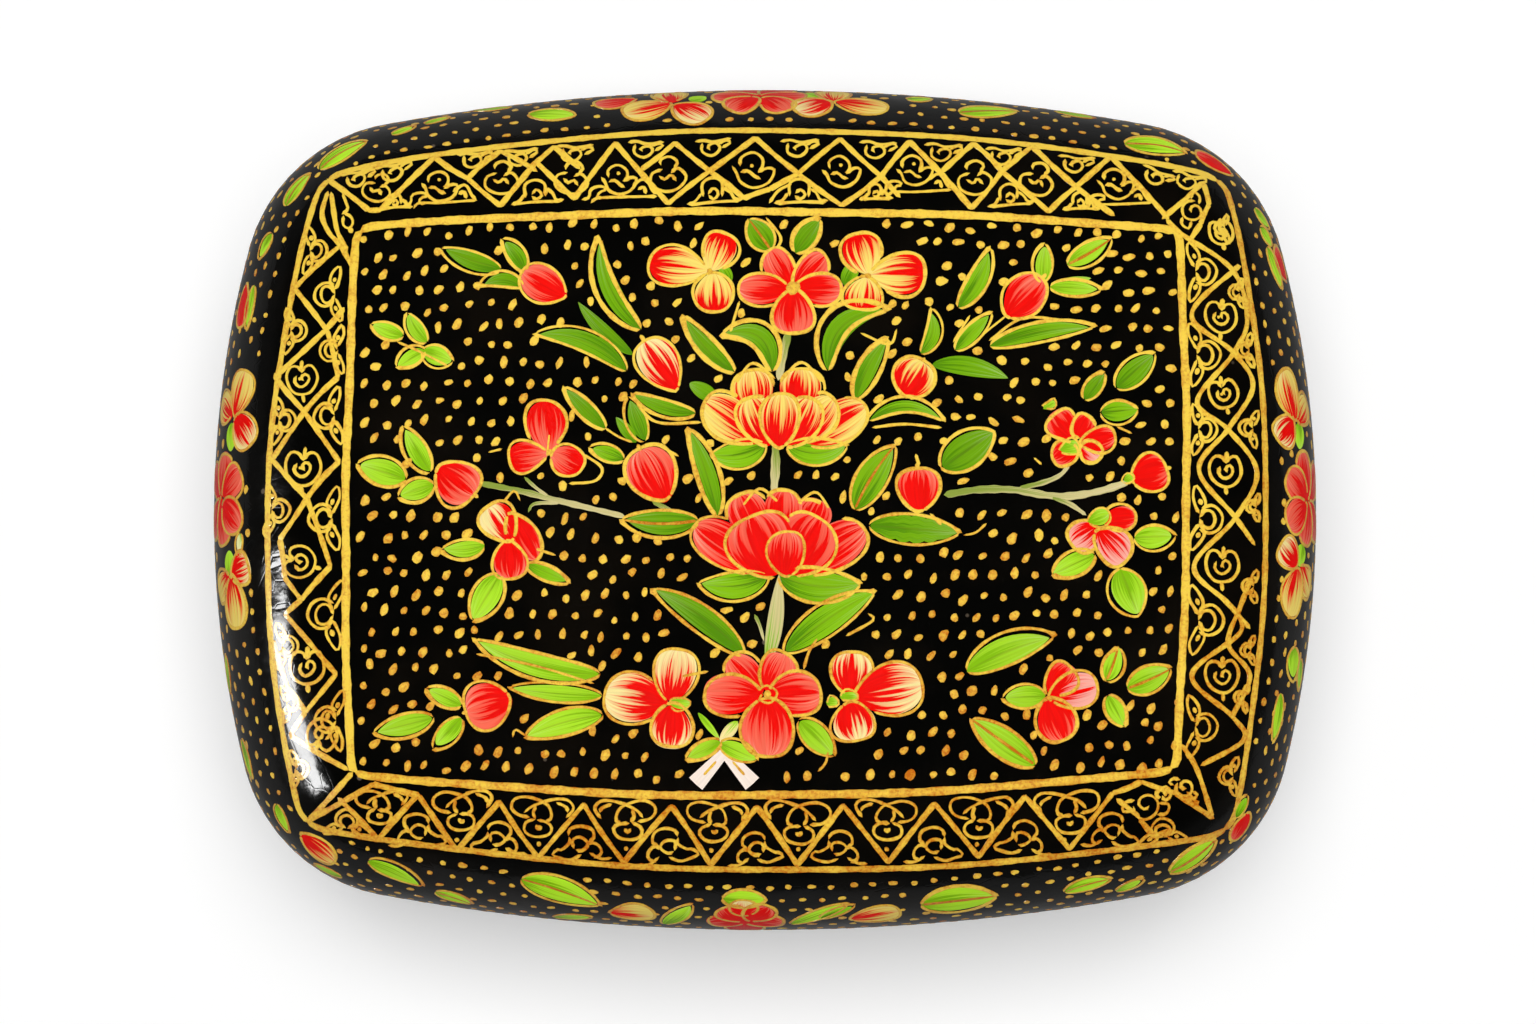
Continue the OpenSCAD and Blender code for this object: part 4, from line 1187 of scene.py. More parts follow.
# The base is hidden in the photo, and its groups are set out by rule: places round the rim of
# the rosettes between two trios, and of the sprigs between those.
SET_MIDDLES = (0.0, 99.4, 198.7, 298.1)
SPRIG_MIDDLES = (24.0, 47.0, 64.0, 77.0, 122.0, 136.0, 152.0, 174.0, 223.0, 246.0, 262.0, 276.0,
                 320.0, 334.0, 350.0, 373.0)
SET_UP, SPRIG_UP = -9.6, -9.4
SET_SIZE = 5.2  # radius of a rosette


def flower_set(garden, s, up, size):
    """A rosette between two trios, as on the shoulder, with a small leaf under each trio."""
    for order, turn in enumerate((90, 162, 18, 234, 306)):
        a = math.radians(turn)
        garden.petal(s + 0.4 * math.cos(a), up + 0.4 * math.sin(a),
                     s + size * math.cos(a), up + 0.88 * size * math.sin(a), size * 0.8, "coral",
                     order)
    for hand in (-1, 1):
        t = s + hand * 1.95 * size
        garden.leaf(t - hand * 0.2, up - 0.6, t - hand * 1.2, up - size * 0.62, 1.5, 0, "ln")
        for order, (turn, reach, style) in enumerate(((112, 0.8, "cream"), (8, 1.15, "cream"),
                                                      (238, 0.85, "flame"))):
            a = math.radians(turn)
            garden.petal(t, up, t + hand * reach * size * math.cos(a),
                         up + reach * size * math.sin(a), size * 0.78, style, order)


def sprig(garden, s, up, hand):
    """A bud on a short twig with three leaves, pointing on along the rim (+1) or back (-1)."""
    garden.stem([(s - hand * 3.2, up - 1.2), (s - hand, up - 0.3), (s + hand * 0.8, up)], 0.4)
    garden.bud(s + hand * 0.6, up, s + hand * 4.0, up + 0.9, 2.9,
               "flame" if hand > 0 else "coral")
    for dx, dy, run, rise in ((-2.6, -0.8, -2.6, 1.8), (-2.0, -0.8, -2.2, -2.0),
                              (0.2, -0.6, 2.8, -2.2)):
        garden.leaf(s + hand * dx, up + dy, s + hand * (dx + run), up + (dy + rise), 1.7, 0, "lr")


# ---- Dots -----------------------------------------------------------------------------------

def free_places(places, taken, gap):
    """Those places that lie clear of every disc of taken ground by more than the gap."""
    far = np.hypot(places[:, None, 0] - taken[None, :, 0], places[:, None, 1] - taken[None, :, 1])
    return places[(far - taken[None, :, 2]).min(1) > gap]


def spread(places, spacing, kept):
    """Adds places to those kept, one by one, where each is at least the spacing from them all."""
    for place in places:
        if np.hypot(*(kept - place).T).min() >= spacing:
            kept = np.vstack([kept, place])
    return kept


DOT_GAP = 0.6  # from the middle of a dot to other paint
ROW_SHARE = 0.86  # distance between rows of dots, as a share of that within a row
SIDE_DOTS = 0.78  # size of the dots of the sides, as a share of the field's
STRAY_TRIES = 3000
# The field inside its frame, in plan millimetres: its two ends, half its width there, and how
# much wider it is in the middle.
FIELD_LEFT, FIELD_RIGHT, FIELD_HALF, FIELD_BOW = -45.8, 46.5, 30.1, 1.6


def field_dots(garden, spacing):
    """Rows that follow the bowed frame, then stray dots in the gaps that the flowers leave, and
    the way each dot points: along the box at the upper right, and steeper elsewhere."""
    random = garden.random
    rows = int(2 * (FIELD_HALF + FIELD_BOW) / (spacing * 0.93))
    places = []
    for k in range(rows + 1):
        v = 1 - 2 * k / rows
        x = np.arange(FIELD_LEFT - 0.1, FIELD_RIGHT + 0.1, spacing) + (k % 2) * spacing / 2
        x = x[x < FIELD_RIGHT + 0.3]
        reach = FIELD_HALF + FIELD_BOW * (1 - (x / 46) ** 2)
        places.append(np.stack([x, v * reach], -1))
    places = np.concatenate(places)
    places += random.normal(0, 0.26, places.shape).clip(-0.5, 0.5)
    taken = garden.taken()
    kept = free_places(places, taken, DOT_GAP + 0.02)
    stray = np.stack([random.uniform(FIELD_LEFT, FIELD_RIGHT, STRAY_TRIES),
                      random.uniform(-31.2, 31.2, STRAY_TRIES)], -1)
    kept = spread(free_places(stray, taken, DOT_GAP + 0.1), spacing * ROW_SHARE, kept)
    x, y = kept.T
    side = np.clip((x + 2) / 30, 0, 1) * np.clip((y + 6) / 16, 0, 1)
    turn = np.radians(60 - 52 * side + 10 * np.sin(x * 0.2)) + random.normal(0, 0.3, len(x))
    return kept, turn


def outside_frame(points, gap):
    """Whether each plan point lies outside the outer frame line by the gap: its distance from
    the middle is compared with the line's in the same direction."""
    frame_line = np.concatenate(frame_sides(OUTER_CORNERS, OUTER_MIDS, OUTER_SOFT))
    reach = np.interp(np.arctan2(points[:, 1], points[:, 0]),
                      np.arctan2(frame_line[:, 1], frame_line[:, 0]),
                      np.hypot(*frame_line.T), period=2 * np.pi)
    return np.hypot(points[:, 0], points[:, 1]) > reach + gap


def side_dots(garden, spacing, round_length, first, last):
    """Rows of dots round the sides, staggered from row to row, from first down to last."""
    random = garden.random
    rows = np.arange(first, last, -spacing * ROW_SHARE)
    count = int(round_length / spacing)
    grid = [np.stack([(np.arange(count) + 0.5 * (k % 2)) * round_length / count,
                      np.full(count, up)], -1) for k, up in enumerate(rows)]
    places = np.concatenate(grid)
    places += random.uniform(-0.25, 0.25, places.shape) * (1.2, 0.8)
    kept = free_places(places, garden.taken(), DOT_GAP)
    return kept, random.normal(0, 0.14, len(kept))


def lay_dots(garden, places, turns, sizes, share=1.0):
    """Gold dots with a little of the hand in their size and thickness of paint, and painted light:
    lighter to the back of the field and higher up the sides.
    """
    random, n = garden.random, len(places)
    y = places[:, 1]
    # painted light: lighter as y grows, darker to the front and lower down the sides
    tone = np.clip(0.88 + 0.008 * np.clip(y, -30, 30) + random.normal(0, 0.08, n), 0.2, 1)
    looks = {"tone": np.stack([tone, random.random(n), 0 * tone, 0 * tone + 1], -1)}
    garden.gold.dots(places, turns,
                     sizes.dot_length / MM * share * random.uniform(0.72, 1.26, n),
                     sizes.dot_width / MM * share * random.uniform(0.76, 1.16, n), DOT_COATS,
                     looks)


# ---- Finishes -------------------------------------------------------------------------------

class Graph:
    """A tree of shader nodes, made a node at a time."""

    def __init__(self, tree):
        self.tree = tree

    def put(self, socket, value):
        """Links another node's output to a socket, or sets the socket's own value."""
        if isinstance(value, bpy.types.NodeSocket):
            self.tree.links.new(value, socket)
        else:
            socket.default_value = value

    def node(self, kind, values=None, **settings):
        """A new node with its inputs, by index or by name, and its own settings."""
        made = self.tree.nodes.new(kind)
        for name, value in settings.items():
            setattr(made, name, value)
        for socket, value in (values or {}).items():
            self.put(made.inputs[socket], value)
        return made

    def math(self, operation, first, second=0.0, third=0.0, clamp=False):
        """One step of arithmetic."""
        return self.node("ShaderNodeMath", {0: first, 1: second, 2: third},
                         operation=operation, use_clamp=clamp).outputs[0]

    def place(self):
        """The point's place in the object, in metres."""
        return self.node("ShaderNodeTexCoord").outputs["Object"]

    def noise(self, scale, detail=3.0, roughness=0.55, vector=None):
        """Noise with that many features to the metre."""
        return self.node("ShaderNodeTexNoise", {
            "Vector": vector or self.place(), "Scale": scale, "Detail": detail,
            "Roughness": roughness}).outputs["Fac"]

    def cells(self, scale, feature):
        """Voronoi cells with that many to the metre."""
        return self.node("ShaderNodeTexVoronoi", {"Vector": self.place(), "Scale": scale},
                         feature=feature)

    def ramp(self, value, low, high, out_low=0.0, out_high=1.0):
        """An S-shaped step from out_low to out_high as the value goes from low to high."""
        return self.node("ShaderNodeMapRange", {"Value": value, "From Min": low, "From Max": high,
                                                "To Min": out_low, "To Max": out_high},
                         interpolation_type="SMOOTHSTEP").outputs["Result"]

    def mix(self, share, first, second, blend="MIX"):
        """Colours, given as sockets or as triples, mixed by a share of the second."""
        made = self.node("ShaderNodeMix", {0: share}, data_type="RGBA", blend_type=blend)
        for index, colour in ((6, first), (7, second)):
            self.put(made.inputs[index], colour if isinstance(colour, bpy.types.NodeSocket)
                     else (*colour, 1.0))
        return made.outputs[2]

    def grey(self, value):
        """A grey of that brightness."""
        return self.node("ShaderNodeCombineColor", {0: value, 1: value, 2: value}).outputs[0]

    def bump(self, height, strength, distance, under=None):
        """A bumped normal, on top of the normal under it if there is one."""
        values = {"Strength": strength, "Distance": distance, "Height": height}
        if under is not None:
            values["Normal"] = under
        return self.node("ShaderNodeBump", values).outputs["Normal"]

    def attribute(self, name):
        """One of the looks that the marks carry."""
        return self.node("ShaderNodeAttribute", attribute_name=name)


class Finish(Graph):
    """A material whose nodes end in one principled surface."""

    def __init__(self, name):
        self.material = bpy.data.materials.new(name)
        self.material.use_nodes = True
        super().__init__(self.material.node_tree)
        self.surface = self.tree.nodes["Principled BSDF"]

    def set(self, name, value):
        """Sets or links one input of the surface."""
        self.put(self.surface.inputs[name], value)


# Colours of the fine wear, in linear light.
DUST, BRUSHED_PALE, LEAF_RIB = (0.22, 0.17, 0.12), (1.0, 0.82, 0.6), (0.15, 0.13, 0.012)


def lacquer_finish(colours, name, roughness, dust=1.0):
    """Black lacquer: brown where it is thin, slightly uneven, with dust caught in the varnish,
    fine cracks, and a rubbed brown edge at the mouth."""
    f = Finish(name)
    patches = f.ramp(f.noise(70, 4), 0.42, 0.72)
    colour = f.mix(patches, tuple(colours.lacquer), tuple(colours.lacquer_worn))
    colour = f.mix(0.35, tuple(colours.lacquer), colour)
    cells = f.cells(520.0, "F1")
    chosen = f.node("ShaderNodeSeparateColor", {0: cells.outputs["Color"]})
    speck = f.math("MULTIPLY", f.ramp(cells.outputs["Distance"], 0.2, 0.1),
                   f.ramp(chosen.outputs[0], 0.975, 0.985))
    colour = f.mix(f.math("MULTIPLY", speck, 0.55 * dust), colour, DUST)
    height = f.node("ShaderNodeSeparateXYZ", {0: f.place()}).outputs[2]
    from_mouth = f.math("ABSOLUTE", f.math("SUBTRACT", height, BASE_HIGH.z))
    rubbed = f.math("MULTIPLY", f.ramp(from_mouth, 0.0011, 0.0002),
                    f.ramp(f.noise(240, 5), 0.5, 0.62))
    colour = f.mix(f.math("MULTIPLY", rubbed, 0.7), colour, tuple(colours.board))
    f.set("Base Color", colour)
    smears = f.ramp(f.noise(90, 5, 0.6), 0.35, 0.7, 0.0, 0.1)
    grain = f.ramp(f.noise(1400, 3), 0.4, 0.8, 0.0, 0.05)
    f.set("Roughness", f.math("ADD", f.math("ADD", smears, grain), roughness))
    f.set("Specular IOR Level", 0.5)
    cracks = f.cells(420.0, "DISTANCE_TO_EDGE").outputs["Distance"]
    normal = f.bump(f.ramp(cracks, 0.0, 0.05), 0.12, 0.00004)
    normal = f.bump(f.noise(110, 2), 0.9, 0.0003, normal)
    normal = f.bump(f.noise(300, 3), 0.5, 0.0001, normal)
    normal = f.bump(f.noise(1900, 2), 0.12, 0.00003, normal)
    f.set("Normal", normal)
    return f.material


def gold_finish(colours, name):
    """Gold paint: bright where it lies thick, brown where it is thin, grainy, a little metallic; its
    tone also holds painted light and shade.
    """
    f = Finish(name)
    tone = f.node("ShaderNodeSeparateColor", {0: f.attribute("tone").outputs["Color"]}).outputs[0]
    clouds = f.ramp(f.noise(330, 4), 0.3, 0.72, -0.3, 0.2)
    grain = f.ramp(f.noise(2600, 3, 0.7), 0.34, 0.6, -0.36, 0.14)
    # tone carries painted light as well as the thickness of the paint
    thick = f.math("ADD", f.math("ADD", tone, clouds), grain, clamp=True)
    f.set("Base Color", f.mix(thick, tuple(colours.gold_thin), tuple(colours.gold)))
    f.set("Specular IOR Level", 0.2)
    f.set("Coat Weight", 0.9)
    f.set("Coat Roughness", 0.08)
    f.set("Roughness", f.ramp(grain, -0.3, 0.12, 0.42, 0.26))
    f.set("Normal", f.bump(f.noise(1800, 3), 0.2, 0.00004))
    return f.material


def body_colour_finish(name):
    """Opaque brush-laid colour: a ground colour and a flame of another colour that is drawn out
    in streaks from one end, by the looks ground, streak and brush of each mark."""
    f = Finish(name)
    ground, flame = f.attribute("ground"), f.attribute("streak")
    brush = f.attribute("brush")
    parts = f.node("ShaderNodeSeparateColor", {0: brush.outputs["Color"]})
    across = f.math("MULTIPLY_ADD", parts.outputs[0], 2.0, -1.0)
    along, seed = parts.outputs[1], parts.outputs[2]
    lean = f.math("MULTIPLY_ADD", brush.outputs["Alpha"], 2.0, -1.0)

    def streaks(width, reach, detail):
        """Noise drawn out along the mark: features across it, and along it."""
        spot = f.node("ShaderNodeCombineXYZ", {
            0: f.math("MULTIPLY_ADD", seed, 37.0, f.math("MULTIPLY", across, width)),
            1: f.math("MULTIPLY", along, reach), 2: f.math("MULTIPLY", seed, 11.0)}).outputs[0]
        return f.noise(1.0, detail, 0.6, spot)

    off = f.math("SUBTRACT", across, lean)
    pull = f.math("MULTIPLY", f.math("MULTIPLY", off, off), 0.2)
    tongue = f.math("ADD", f.ramp(streaks(4.5, 0.4, 1.0), 0.32, 0.68, -0.16, 0.16),
                    f.ramp(streaks(11.0, 0.5, 1.0), 0.32, 0.68, -0.15, 0.15))
    edge = f.math("SUBTRACT", f.math("ADD", flame.outputs["Alpha"], tongue),
                  f.math("ADD", along, pull))
    pale = f.mix(0.4, ground.outputs["Color"], BRUSHED_PALE)
    brushed = f.math("MULTIPLY", f.ramp(streaks(9.0, 0.6, 2.0), 0.48, 0.7),
                     f.ramp(along, 0.4, 0.95))
    brushed = f.math("MULTIPLY", brushed, f.math("SUBTRACT", 1.0, ground.outputs["Alpha"]))
    laid = f.mix(brushed, ground.outputs["Color"], pale)
    laid = f.mix(f.ramp(edge, -0.3, 0.02, 0.0, 0.5), laid, flame.outputs["Color"])
    colour = f.mix(f.ramp(edge, -0.04, 0.04), laid, flame.outputs["Color"])
    hairs = f.ramp(streaks(8.0, 1.2, 3.0), 0.3, 0.7, 0.92, 1.05)
    colour = f.mix(1.0, colour, f.grey(hairs), "MULTIPLY")
    rib = f.math("MULTIPLY", f.ramp(f.math("ABSOLUTE", across), 0.11, 0.03),
                 f.math("MULTIPLY", ground.outputs["Alpha"], f.ramp(along, 0.95, 0.7)))
    colour = f.mix(f.math("MULTIPLY", rib, 0.6), colour, LEAF_RIB)
    f.set("Base Color", colour)
    f.set("Roughness", f.ramp(f.noise(900, 4), 0.3, 0.7, 0.12, 0.24))
    f.set("Specular IOR Level", 0.12)
    normal = f.bump(streaks(9.0, 0.8, 2.0), 0.12, 0.00003)
    f.set("Normal", f.bump(f.noise(1500, 3), 0.1, 0.00003, normal))
    return f.material


def board_finish(colours, name):
    """Paper board under thin dull black paint: matt and fibrous, and brown where it is worn."""
    f = Finish(name)
    fibres = f.noise(1.0, 5, 0.65, f.node("ShaderNodeMapping", {
        "Vector": f.place(), "Scale": (500.0, 500.0, 2600.0)}).outputs[0])
    paint = np.array(tuple(colours.collar))
    colour = f.mix(f.ramp(fibres, 0.3, 0.7), tuple(paint * 0.7), tuple(paint * 1.2))
    worn = f.math("MULTIPLY", f.ramp(f.noise(60, 4), 0.45, 0.7),
                  f.ramp(fibres, 0.4, 0.7, 0.1, 0.6))
    colour = f.mix(worn, colour, tuple(colours.board))
    f.set("Base Color", colour)
    f.set("Roughness", f.ramp(f.noise(400), 0.3, 0.7, 0.62, 0.85))
    f.set("Normal", f.bump(fibres, 0.5, 0.0001))
    return f.material


def finishes(context):
    """The finishes, made once and found again by name."""
    colours = context.scene.paint_colours
    makers = {
        "lacquer": lambda name: lacquer_finish(colours, name, 0.05),
        "lacquer_inside": lambda name: lacquer_finish(colours, name, 0.3, 0.4),
        "gold": lambda name: gold_finish(colours, name),
        "petals": body_colour_finish,
        "leaves": body_colour_finish,
        "board": lambda name: board_finish(colours, name),
    }
    return {name: bpy.data.materials.get("finish_" + name) or make("finish_" + name)
            for name, make in makers.items()}


def carry(thing, body, slot):
    """Puts a piece on its body; slot is not used."""
    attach(thing, body)
    return thing


def lay_garden(garden, context, name, body):
    """Lays the coats of one surface, leaves first, then petals, then gold."""
    made = finishes(context)
    for coat, part, slot in ((garden.leaves, "leaves", "leaf_paint"),
                             (garden.petals, "petals", "petal_paint"),
                             (garden.gold, "gold", "gold_paint")):
        if coat.count:
            carry(coat.lay(f"{name}_{part}", made[part]), body, slot)


# ---- Operators ------------------------------------------------------------------------------

CLOSED_GAP = 0.05  # from the line where the two halves meet to the edge of either
BEVEL, INNER_BEVEL = 0.12, 0.2  # cut off the corners of an edge, outside and inside
INSIDE_CORNERS = 2  # how many corners of an edge belong to the inside


def mouth_edge(form, straight):
    """Corners round the edge of a mouth, from the outside in: inset and distance from the edge.
    straight is where the last ring of the wall outside stands."""
    return ((form.skin, straight), (form.skin, form.mouth_ease + 0.4),
            (form.skin, form.mouth_ease), (form.skin + BEVEL, BEVEL),
            (form.skin + form.mouth_ease, 0), (form.wall_t - INNER_BEVEL, 0),
            (form.wall_t, INNER_BEVEL))


class MakeLid(bpy.types.Operator):
    """Mould the lid: a crowned top, a rolled shoulder, a straight side and an open mouth"""

    bl_idname = "painted_box.lid"
    bl_label = "Lid Shell"

    def execute(self, context):
        form = form_of(context)
        s = shell_stations(form)
        low = form.mouth + CLOSED_GAP
        rings = []

        def plan(inset, z, crown=0.0, share=1.0):
            """Adds a ring: the outline, drawn in and scaled, at a height and on the crown."""
            x, y = form.rim(s, inset)
            x, y = x * share, y * share
            rings.append(np.stack([x, y, z + crown * form.crown(x, y)], -1))

        radius = form.shoulder_r - form.skin
        for share in steps(0.08, 0.94, 9):  # out over the crown
            plan(form.shoulder_r, form.shoulder_top - form.skin, 1.0, share)
        for turn in steps(0, math.pi / 2, 24):  # down the shoulder
            plan(form.shoulder_r - radius * math.sin(turn),
                 form.shoulder_top - form.shoulder_r + radius * math.cos(turn), 1.0)
        for inset, away in mouth_edge(form, 4.0):
            plan(inset, low + away)
        outside = len(rings) - INSIDE_CORNERS
        inner = form.shoulder_r - form.wall_t
        for turn in steps(math.pi / 2, 0, 14):  # up inside the shoulder
            plan(form.shoulder_r - inner * math.sin(turn),
                 form.shoulder_top - form.shoulder_r + inner * math.cos(turn), 1.0)
        for share in steps(0.9, 0.1, 5):  # in under the crown
            plan(form.shoulder_r, form.shoulder_top - form.wall_t, 1.0, share)
        slots = [0] * outside + [1] * (len(rings) + 1 - outside)
        made = finishes(context)
        lid = loft("lid_lacquer", (0, 0, form.height - form.skin), rings,
                   (0, 0, form.height - form.wall_t),
                   [made["lacquer"], made["lacquer_inside"]], slots)
        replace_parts(carry(lid, "lid", "black_lacquer"), "lid_shell")
        return {"FINISHED"}


class MakeBase(bpy.types.Operator):
    """Mould the base: a straight wall that draws in to a flat foot, and a floor inside"""

    bl_idname = "painted_box.base"
    bl_label = "Base Shell"

    def execute(self, context):
        form = form_of(context)
        s = shell_stations(form)
        rings = []

        def plan(inset, z, share=1.0):
            """Adds a ring: the outline, drawn in and scaled, at a height."""
            x, y = form.rim(s, inset)
            rings.append(np.stack([x * share, y * share, z + 0 * x], -1))

        tuck, rise = form.foot_tuck, form.foot_rise + form.foot_rubbed
        across, up = tuck - form.wall_t, form.foot_rise - form.floor_t
        for share in steps(0.15, 0.93, 4):  # out over the floor
            plan(tuck, form.floor_t, share)
        for turn in steps(0, math.pi / 2, 14):  # up inside the foot
            plan(tuck - across * math.sin(turn), form.foot_rise - up * math.cos(turn))
        inside = len(rings) + INSIDE_CORNERS
        high = form.mouth - CLOSED_GAP
        for inset, away in reversed(mouth_edge(form, 5.0)):
            plan(inset, high - away)
        lowest = math.acos(form.foot_rise / (rise - form.skin))
        for turn in steps(math.pi / 2, lowest, 26):  # down to the foot
            plan(tuck - (tuck - form.skin) * math.sin(turn),
                 form.foot_rise - (rise - form.skin) * math.cos(turn))
        for share in (0.97, 0.6, 0.2):  # in under the foot
            plan(tuck - (tuck - form.skin) * math.sin(lowest), 0.0, share)
        slots = [1] * inside + [0] * (len(rings) + 1 - inside)
        made = finishes(context)
        base = loft("base_lacquer", (0, 0, form.floor_t), rings, (0, 0, 0.0),
                    [made["lacquer"], made["lacquer_inside"]], slots)
        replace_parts(carry(base, "base", "black_lacquer"), "base_shell")
        return {"FINISHED"}


class MakeCollar(bpy.types.Operator):
    """Bend the collar strip round the inside of the mouth, with its two ends butted at the back"""

    bl_idname = "painted_box.collar"
    bl_label = "Collar"

    def execute(self, context):
        form = form_of(context)
        low, top = COLLAR_LOW.z / MM, COLLAR_HIGH.z / MM
        glued = form.half_width - COLLAR_HIGH.y / MM
        standing, inside = glued + 0.3, glued + form.collar_t
        section = np.array([  # inset and height of each corner
            (glued, low), (glued, form.mouth - 0.1), (glued + 0.06, form.mouth),
            (standing, form.mouth + 0.06), (standing, top - 0.6), (standing + 0.18, top - 0.2),
            (standing + 0.5, top), (inside - 0.15, top), (inside, top - 0.15), (inside, low)])
        back = form.stations[2] + (form.stations[3] - form.stations[2]) / 2
        half_gap = form.butt_gap / 2 * 1.02
        s = back + np.linspace(half_gap, form.round - half_gap, 420)
        grid = np.stack([np.stack([*form.rim(s, inset), z + 0 * s], -1) for inset, z in section], 1)
        rows, ring = len(s), len(section)
        quads, _ = stroke_faces(rows, ring)
        start = np.arange(ring)[None]
        end = (rows - 1) * ring + np.arange(ring)[::-1][None]
        collar = finished_mesh("collar_board", grid.reshape(-1, 3), [quads, start, end],
                               [finishes(context)["board"]])
        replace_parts(carry(collar, "base", "collar_paper"), "base_collar")
        return {"FINISHED"}


class PaintField(bpy.types.Operator):
    """Paint the flowering plant of the lid's field, its gold outlines and the dots round it"""

    bl_idname = "painted_box.field"
    bl_label = "Field of the Lid"

    def execute(self, context):
        form, sizes = form_of(context), context.scene.paint_sizes
        garden = Garden(form.lid_top, context, seed=11)
        for points, width in FIELD_STEMS:
            garden.stem(points, width)
        for tip in STALK_TIPS:
            garden.cut_stalk(np.array(STALK_ROOT), np.array(tip))
        for leaf in FIELD_LEAVES:
            garden.leaf(*leaf)
        for style, petals in FIELD_FLOWERS:
            garden.flower(style, petals)
        for bud in FIELD_BUDS:
            garden.bud(*bud)
        for x, y, run, width, turn in FIELD_CUPS:
            a = math.radians(turn)
            dx, dy = run / 2 * math.cos(a), run / 2 * math.sin(a)
            garden.petal(x - dx, y - dy, x + dx, y + dy, width, "moss", 6, drawn=0.6)
        for points, width in FIELD_GOLD:
            garden.gild(points, width)
        eyes = np.array(FIELD_EYES)
        garden.gold.dots(eyes[:, :2], np.zeros(len(eyes)), eyes[:, 2], eyes[:, 2], EYE_COATS,
                         {"tone": (0.85, 0.5, 0, 1)})
        lay_dots(garden, *field_dots(garden, sizes.dot_spacing / MM), sizes)
        lay_garden(garden, context, "field", "lid")
        return {"FINISHED"}


class GildBorder(bpy.types.Operator):
    """Gild the border of the lid: two bowed frame lines, crossing zigzags and scrolls"""

    bl_idname = "painted_box.border"
    bl_label = "Gold Border"

    def execute(self, context):
        form, sizes = form_of(context), context.scene.paint_sizes
        garden = Garden(form.lid_top, context, seed=29)
        gold = garden.gold
        for corners, mids, width, soft in (
                (INNER_CORNERS, INNER_MIDS, sizes.inner_line / MM, INNER_SOFT),
                (OUTER_CORNERS, OUTER_MIDS, sizes.outer_line / MM, OUTER_SOFT)):
            for k, path in enumerate(frame_sides(corners, mids, soft)):
                wave = 0.07 * np.sin(np.linspace(0, 19, len(path)) + k)  # of the hand
                gold.line(path + left_of(path) * wave[:, None], width, FRAME_COATS,
                          garden.border_tone_and_light(*path.mean(0)), step=0.8)
        zigzag = sizes.zigzag / MM
        for turns in OGEES:
            path = spline(turns) + garden.random.uniform(-0.1, 0.1, 2)
            gold.line(path, zigzag * 0.92, ZIGZAG_COATS, garden.border_tone_and_light(*path.mean(0)))
        for turns in ZIGZAGS:
            for a, b in zip(turns[:-1], turns[1:]):
                a, b = np.array(a), np.array(b)
                over = 0.26 * (b - a) / math.hypot(*(b - a))  # past each turn
                a, b = a - over, b + over
                middle = (a + b) / 2 + garden.random.uniform(-0.14, 0.14, 2)
                gold.line(spline([a, middle, b]), zigzag * garden.random.uniform(0.9, 1.1),
                          ZIGZAG_COATS, garden.border_tone_and_light(*middle))
        for lines, at, turn, size, flip in border_scrolls():
            at = np.array(at) + garden.random.uniform(-0.12, 0.12, 2)
            tone = garden.border_tone_and_light(*at)
            if lines is None:
                across = np.array([2 * size])
                gold.dots(at[None], np.zeros(1), across, across, SCROLL_COATS, tone)
                continue
            turn += garden.random.uniform(-5, 5)
            size *= garden.random.uniform(0.95, 1.05)
            for line in lines:
                path = turned(line, at, turn, size, flip)
                path = path + garden.random.uniform(-0.07, 0.07, path.shape)
                gold.line(spline(path), sizes.scroll / MM * garden.random.uniform(0.88, 1.15),
                          SCROLL_COATS, tone, blob=(0.2, 0.3))
        lay_garden(garden, context, "border", "lid")
        return {"FINISHED"}


class PaintLidSides(bpy.types.Operator):
    """Paint the shoulder and sides of the lid: flower groups, leaves and rows of dots"""

    bl_idname = "painted_box.lid_sides"
    bl_label = "Sides of the Lid"

    def execute(self, context):
        form, sizes = form_of(context), context.scene.paint_sizes
        # light=1.3 paints the leaves of the sides lighter: painted light
        garden = Garden(form.lid_side, context, seed=47, light=1.3)
        for leaf in SIDE_LEAVES:
            garden.leaf(*leaf)
        for style, petals in SIDE_FLOWERS:
            garden.flower(style, petals)
        for bud in SIDE_BUDS:
            garden.bud(*bud)
        spacing = sizes.dot_spacing / MM
        highest, lowest = -10.7, 0.9 - form.side_length
        places, turns = side_dots(garden, spacing, form.round, highest, lowest)
        clear = outside_frame(form.lid_side(*places.T)[:, :2], 0.9)
        lay_dots(garden, places[clear], turns[clear], sizes, SIDE_DOTS)
        lay_garden(garden, context, "lid_side", "lid")
        return {"FINISHED"}


class PaintBaseSides(bpy.types.Operator):
    """Paint the sides of the base in the manner of the lid's: groups, sprigs and rows of dots"""

    bl_idname = "painted_box.base_sides"
    bl_label = "Sides of the Base"

    def execute(self, context):
        form, sizes = form_of(context), context.scene.paint_sizes
        garden = Garden(form.base_side, context, seed=71)
        for s in SET_MIDDLES:
            flower_set(garden, s, SET_UP, SET_SIZE)
        for k, s in enumerate(SPRIG_MIDDLES):
            sprig(garden, s, SPRIG_UP + 1.2 * math.sin(2.1 * k), 1 if k % 2 else -1)
        spacing = sizes.dot_spacing / MM
        highest, lowest = -1.5, -24.5
        places, turns = side_dots(garden, spacing, form.round, highest, lowest)
        lay_dots(garden, places, turns, sizes, SIDE_DOTS)
        lay_garden(garden, context, "base_side", "base")
        return {"FINISHED"}


WHITE = (1, 1, 1, 1)
FLOOR_REACH = 1500.0
LIT_POINT = Vector((0, 0, 30 * MM))
# Over the middle of the box, and off it by as much as the photo's frame is.
CAMERA_AIM = Vector((0.35 * MM, -0.59 * MM, 40.5 * MM))


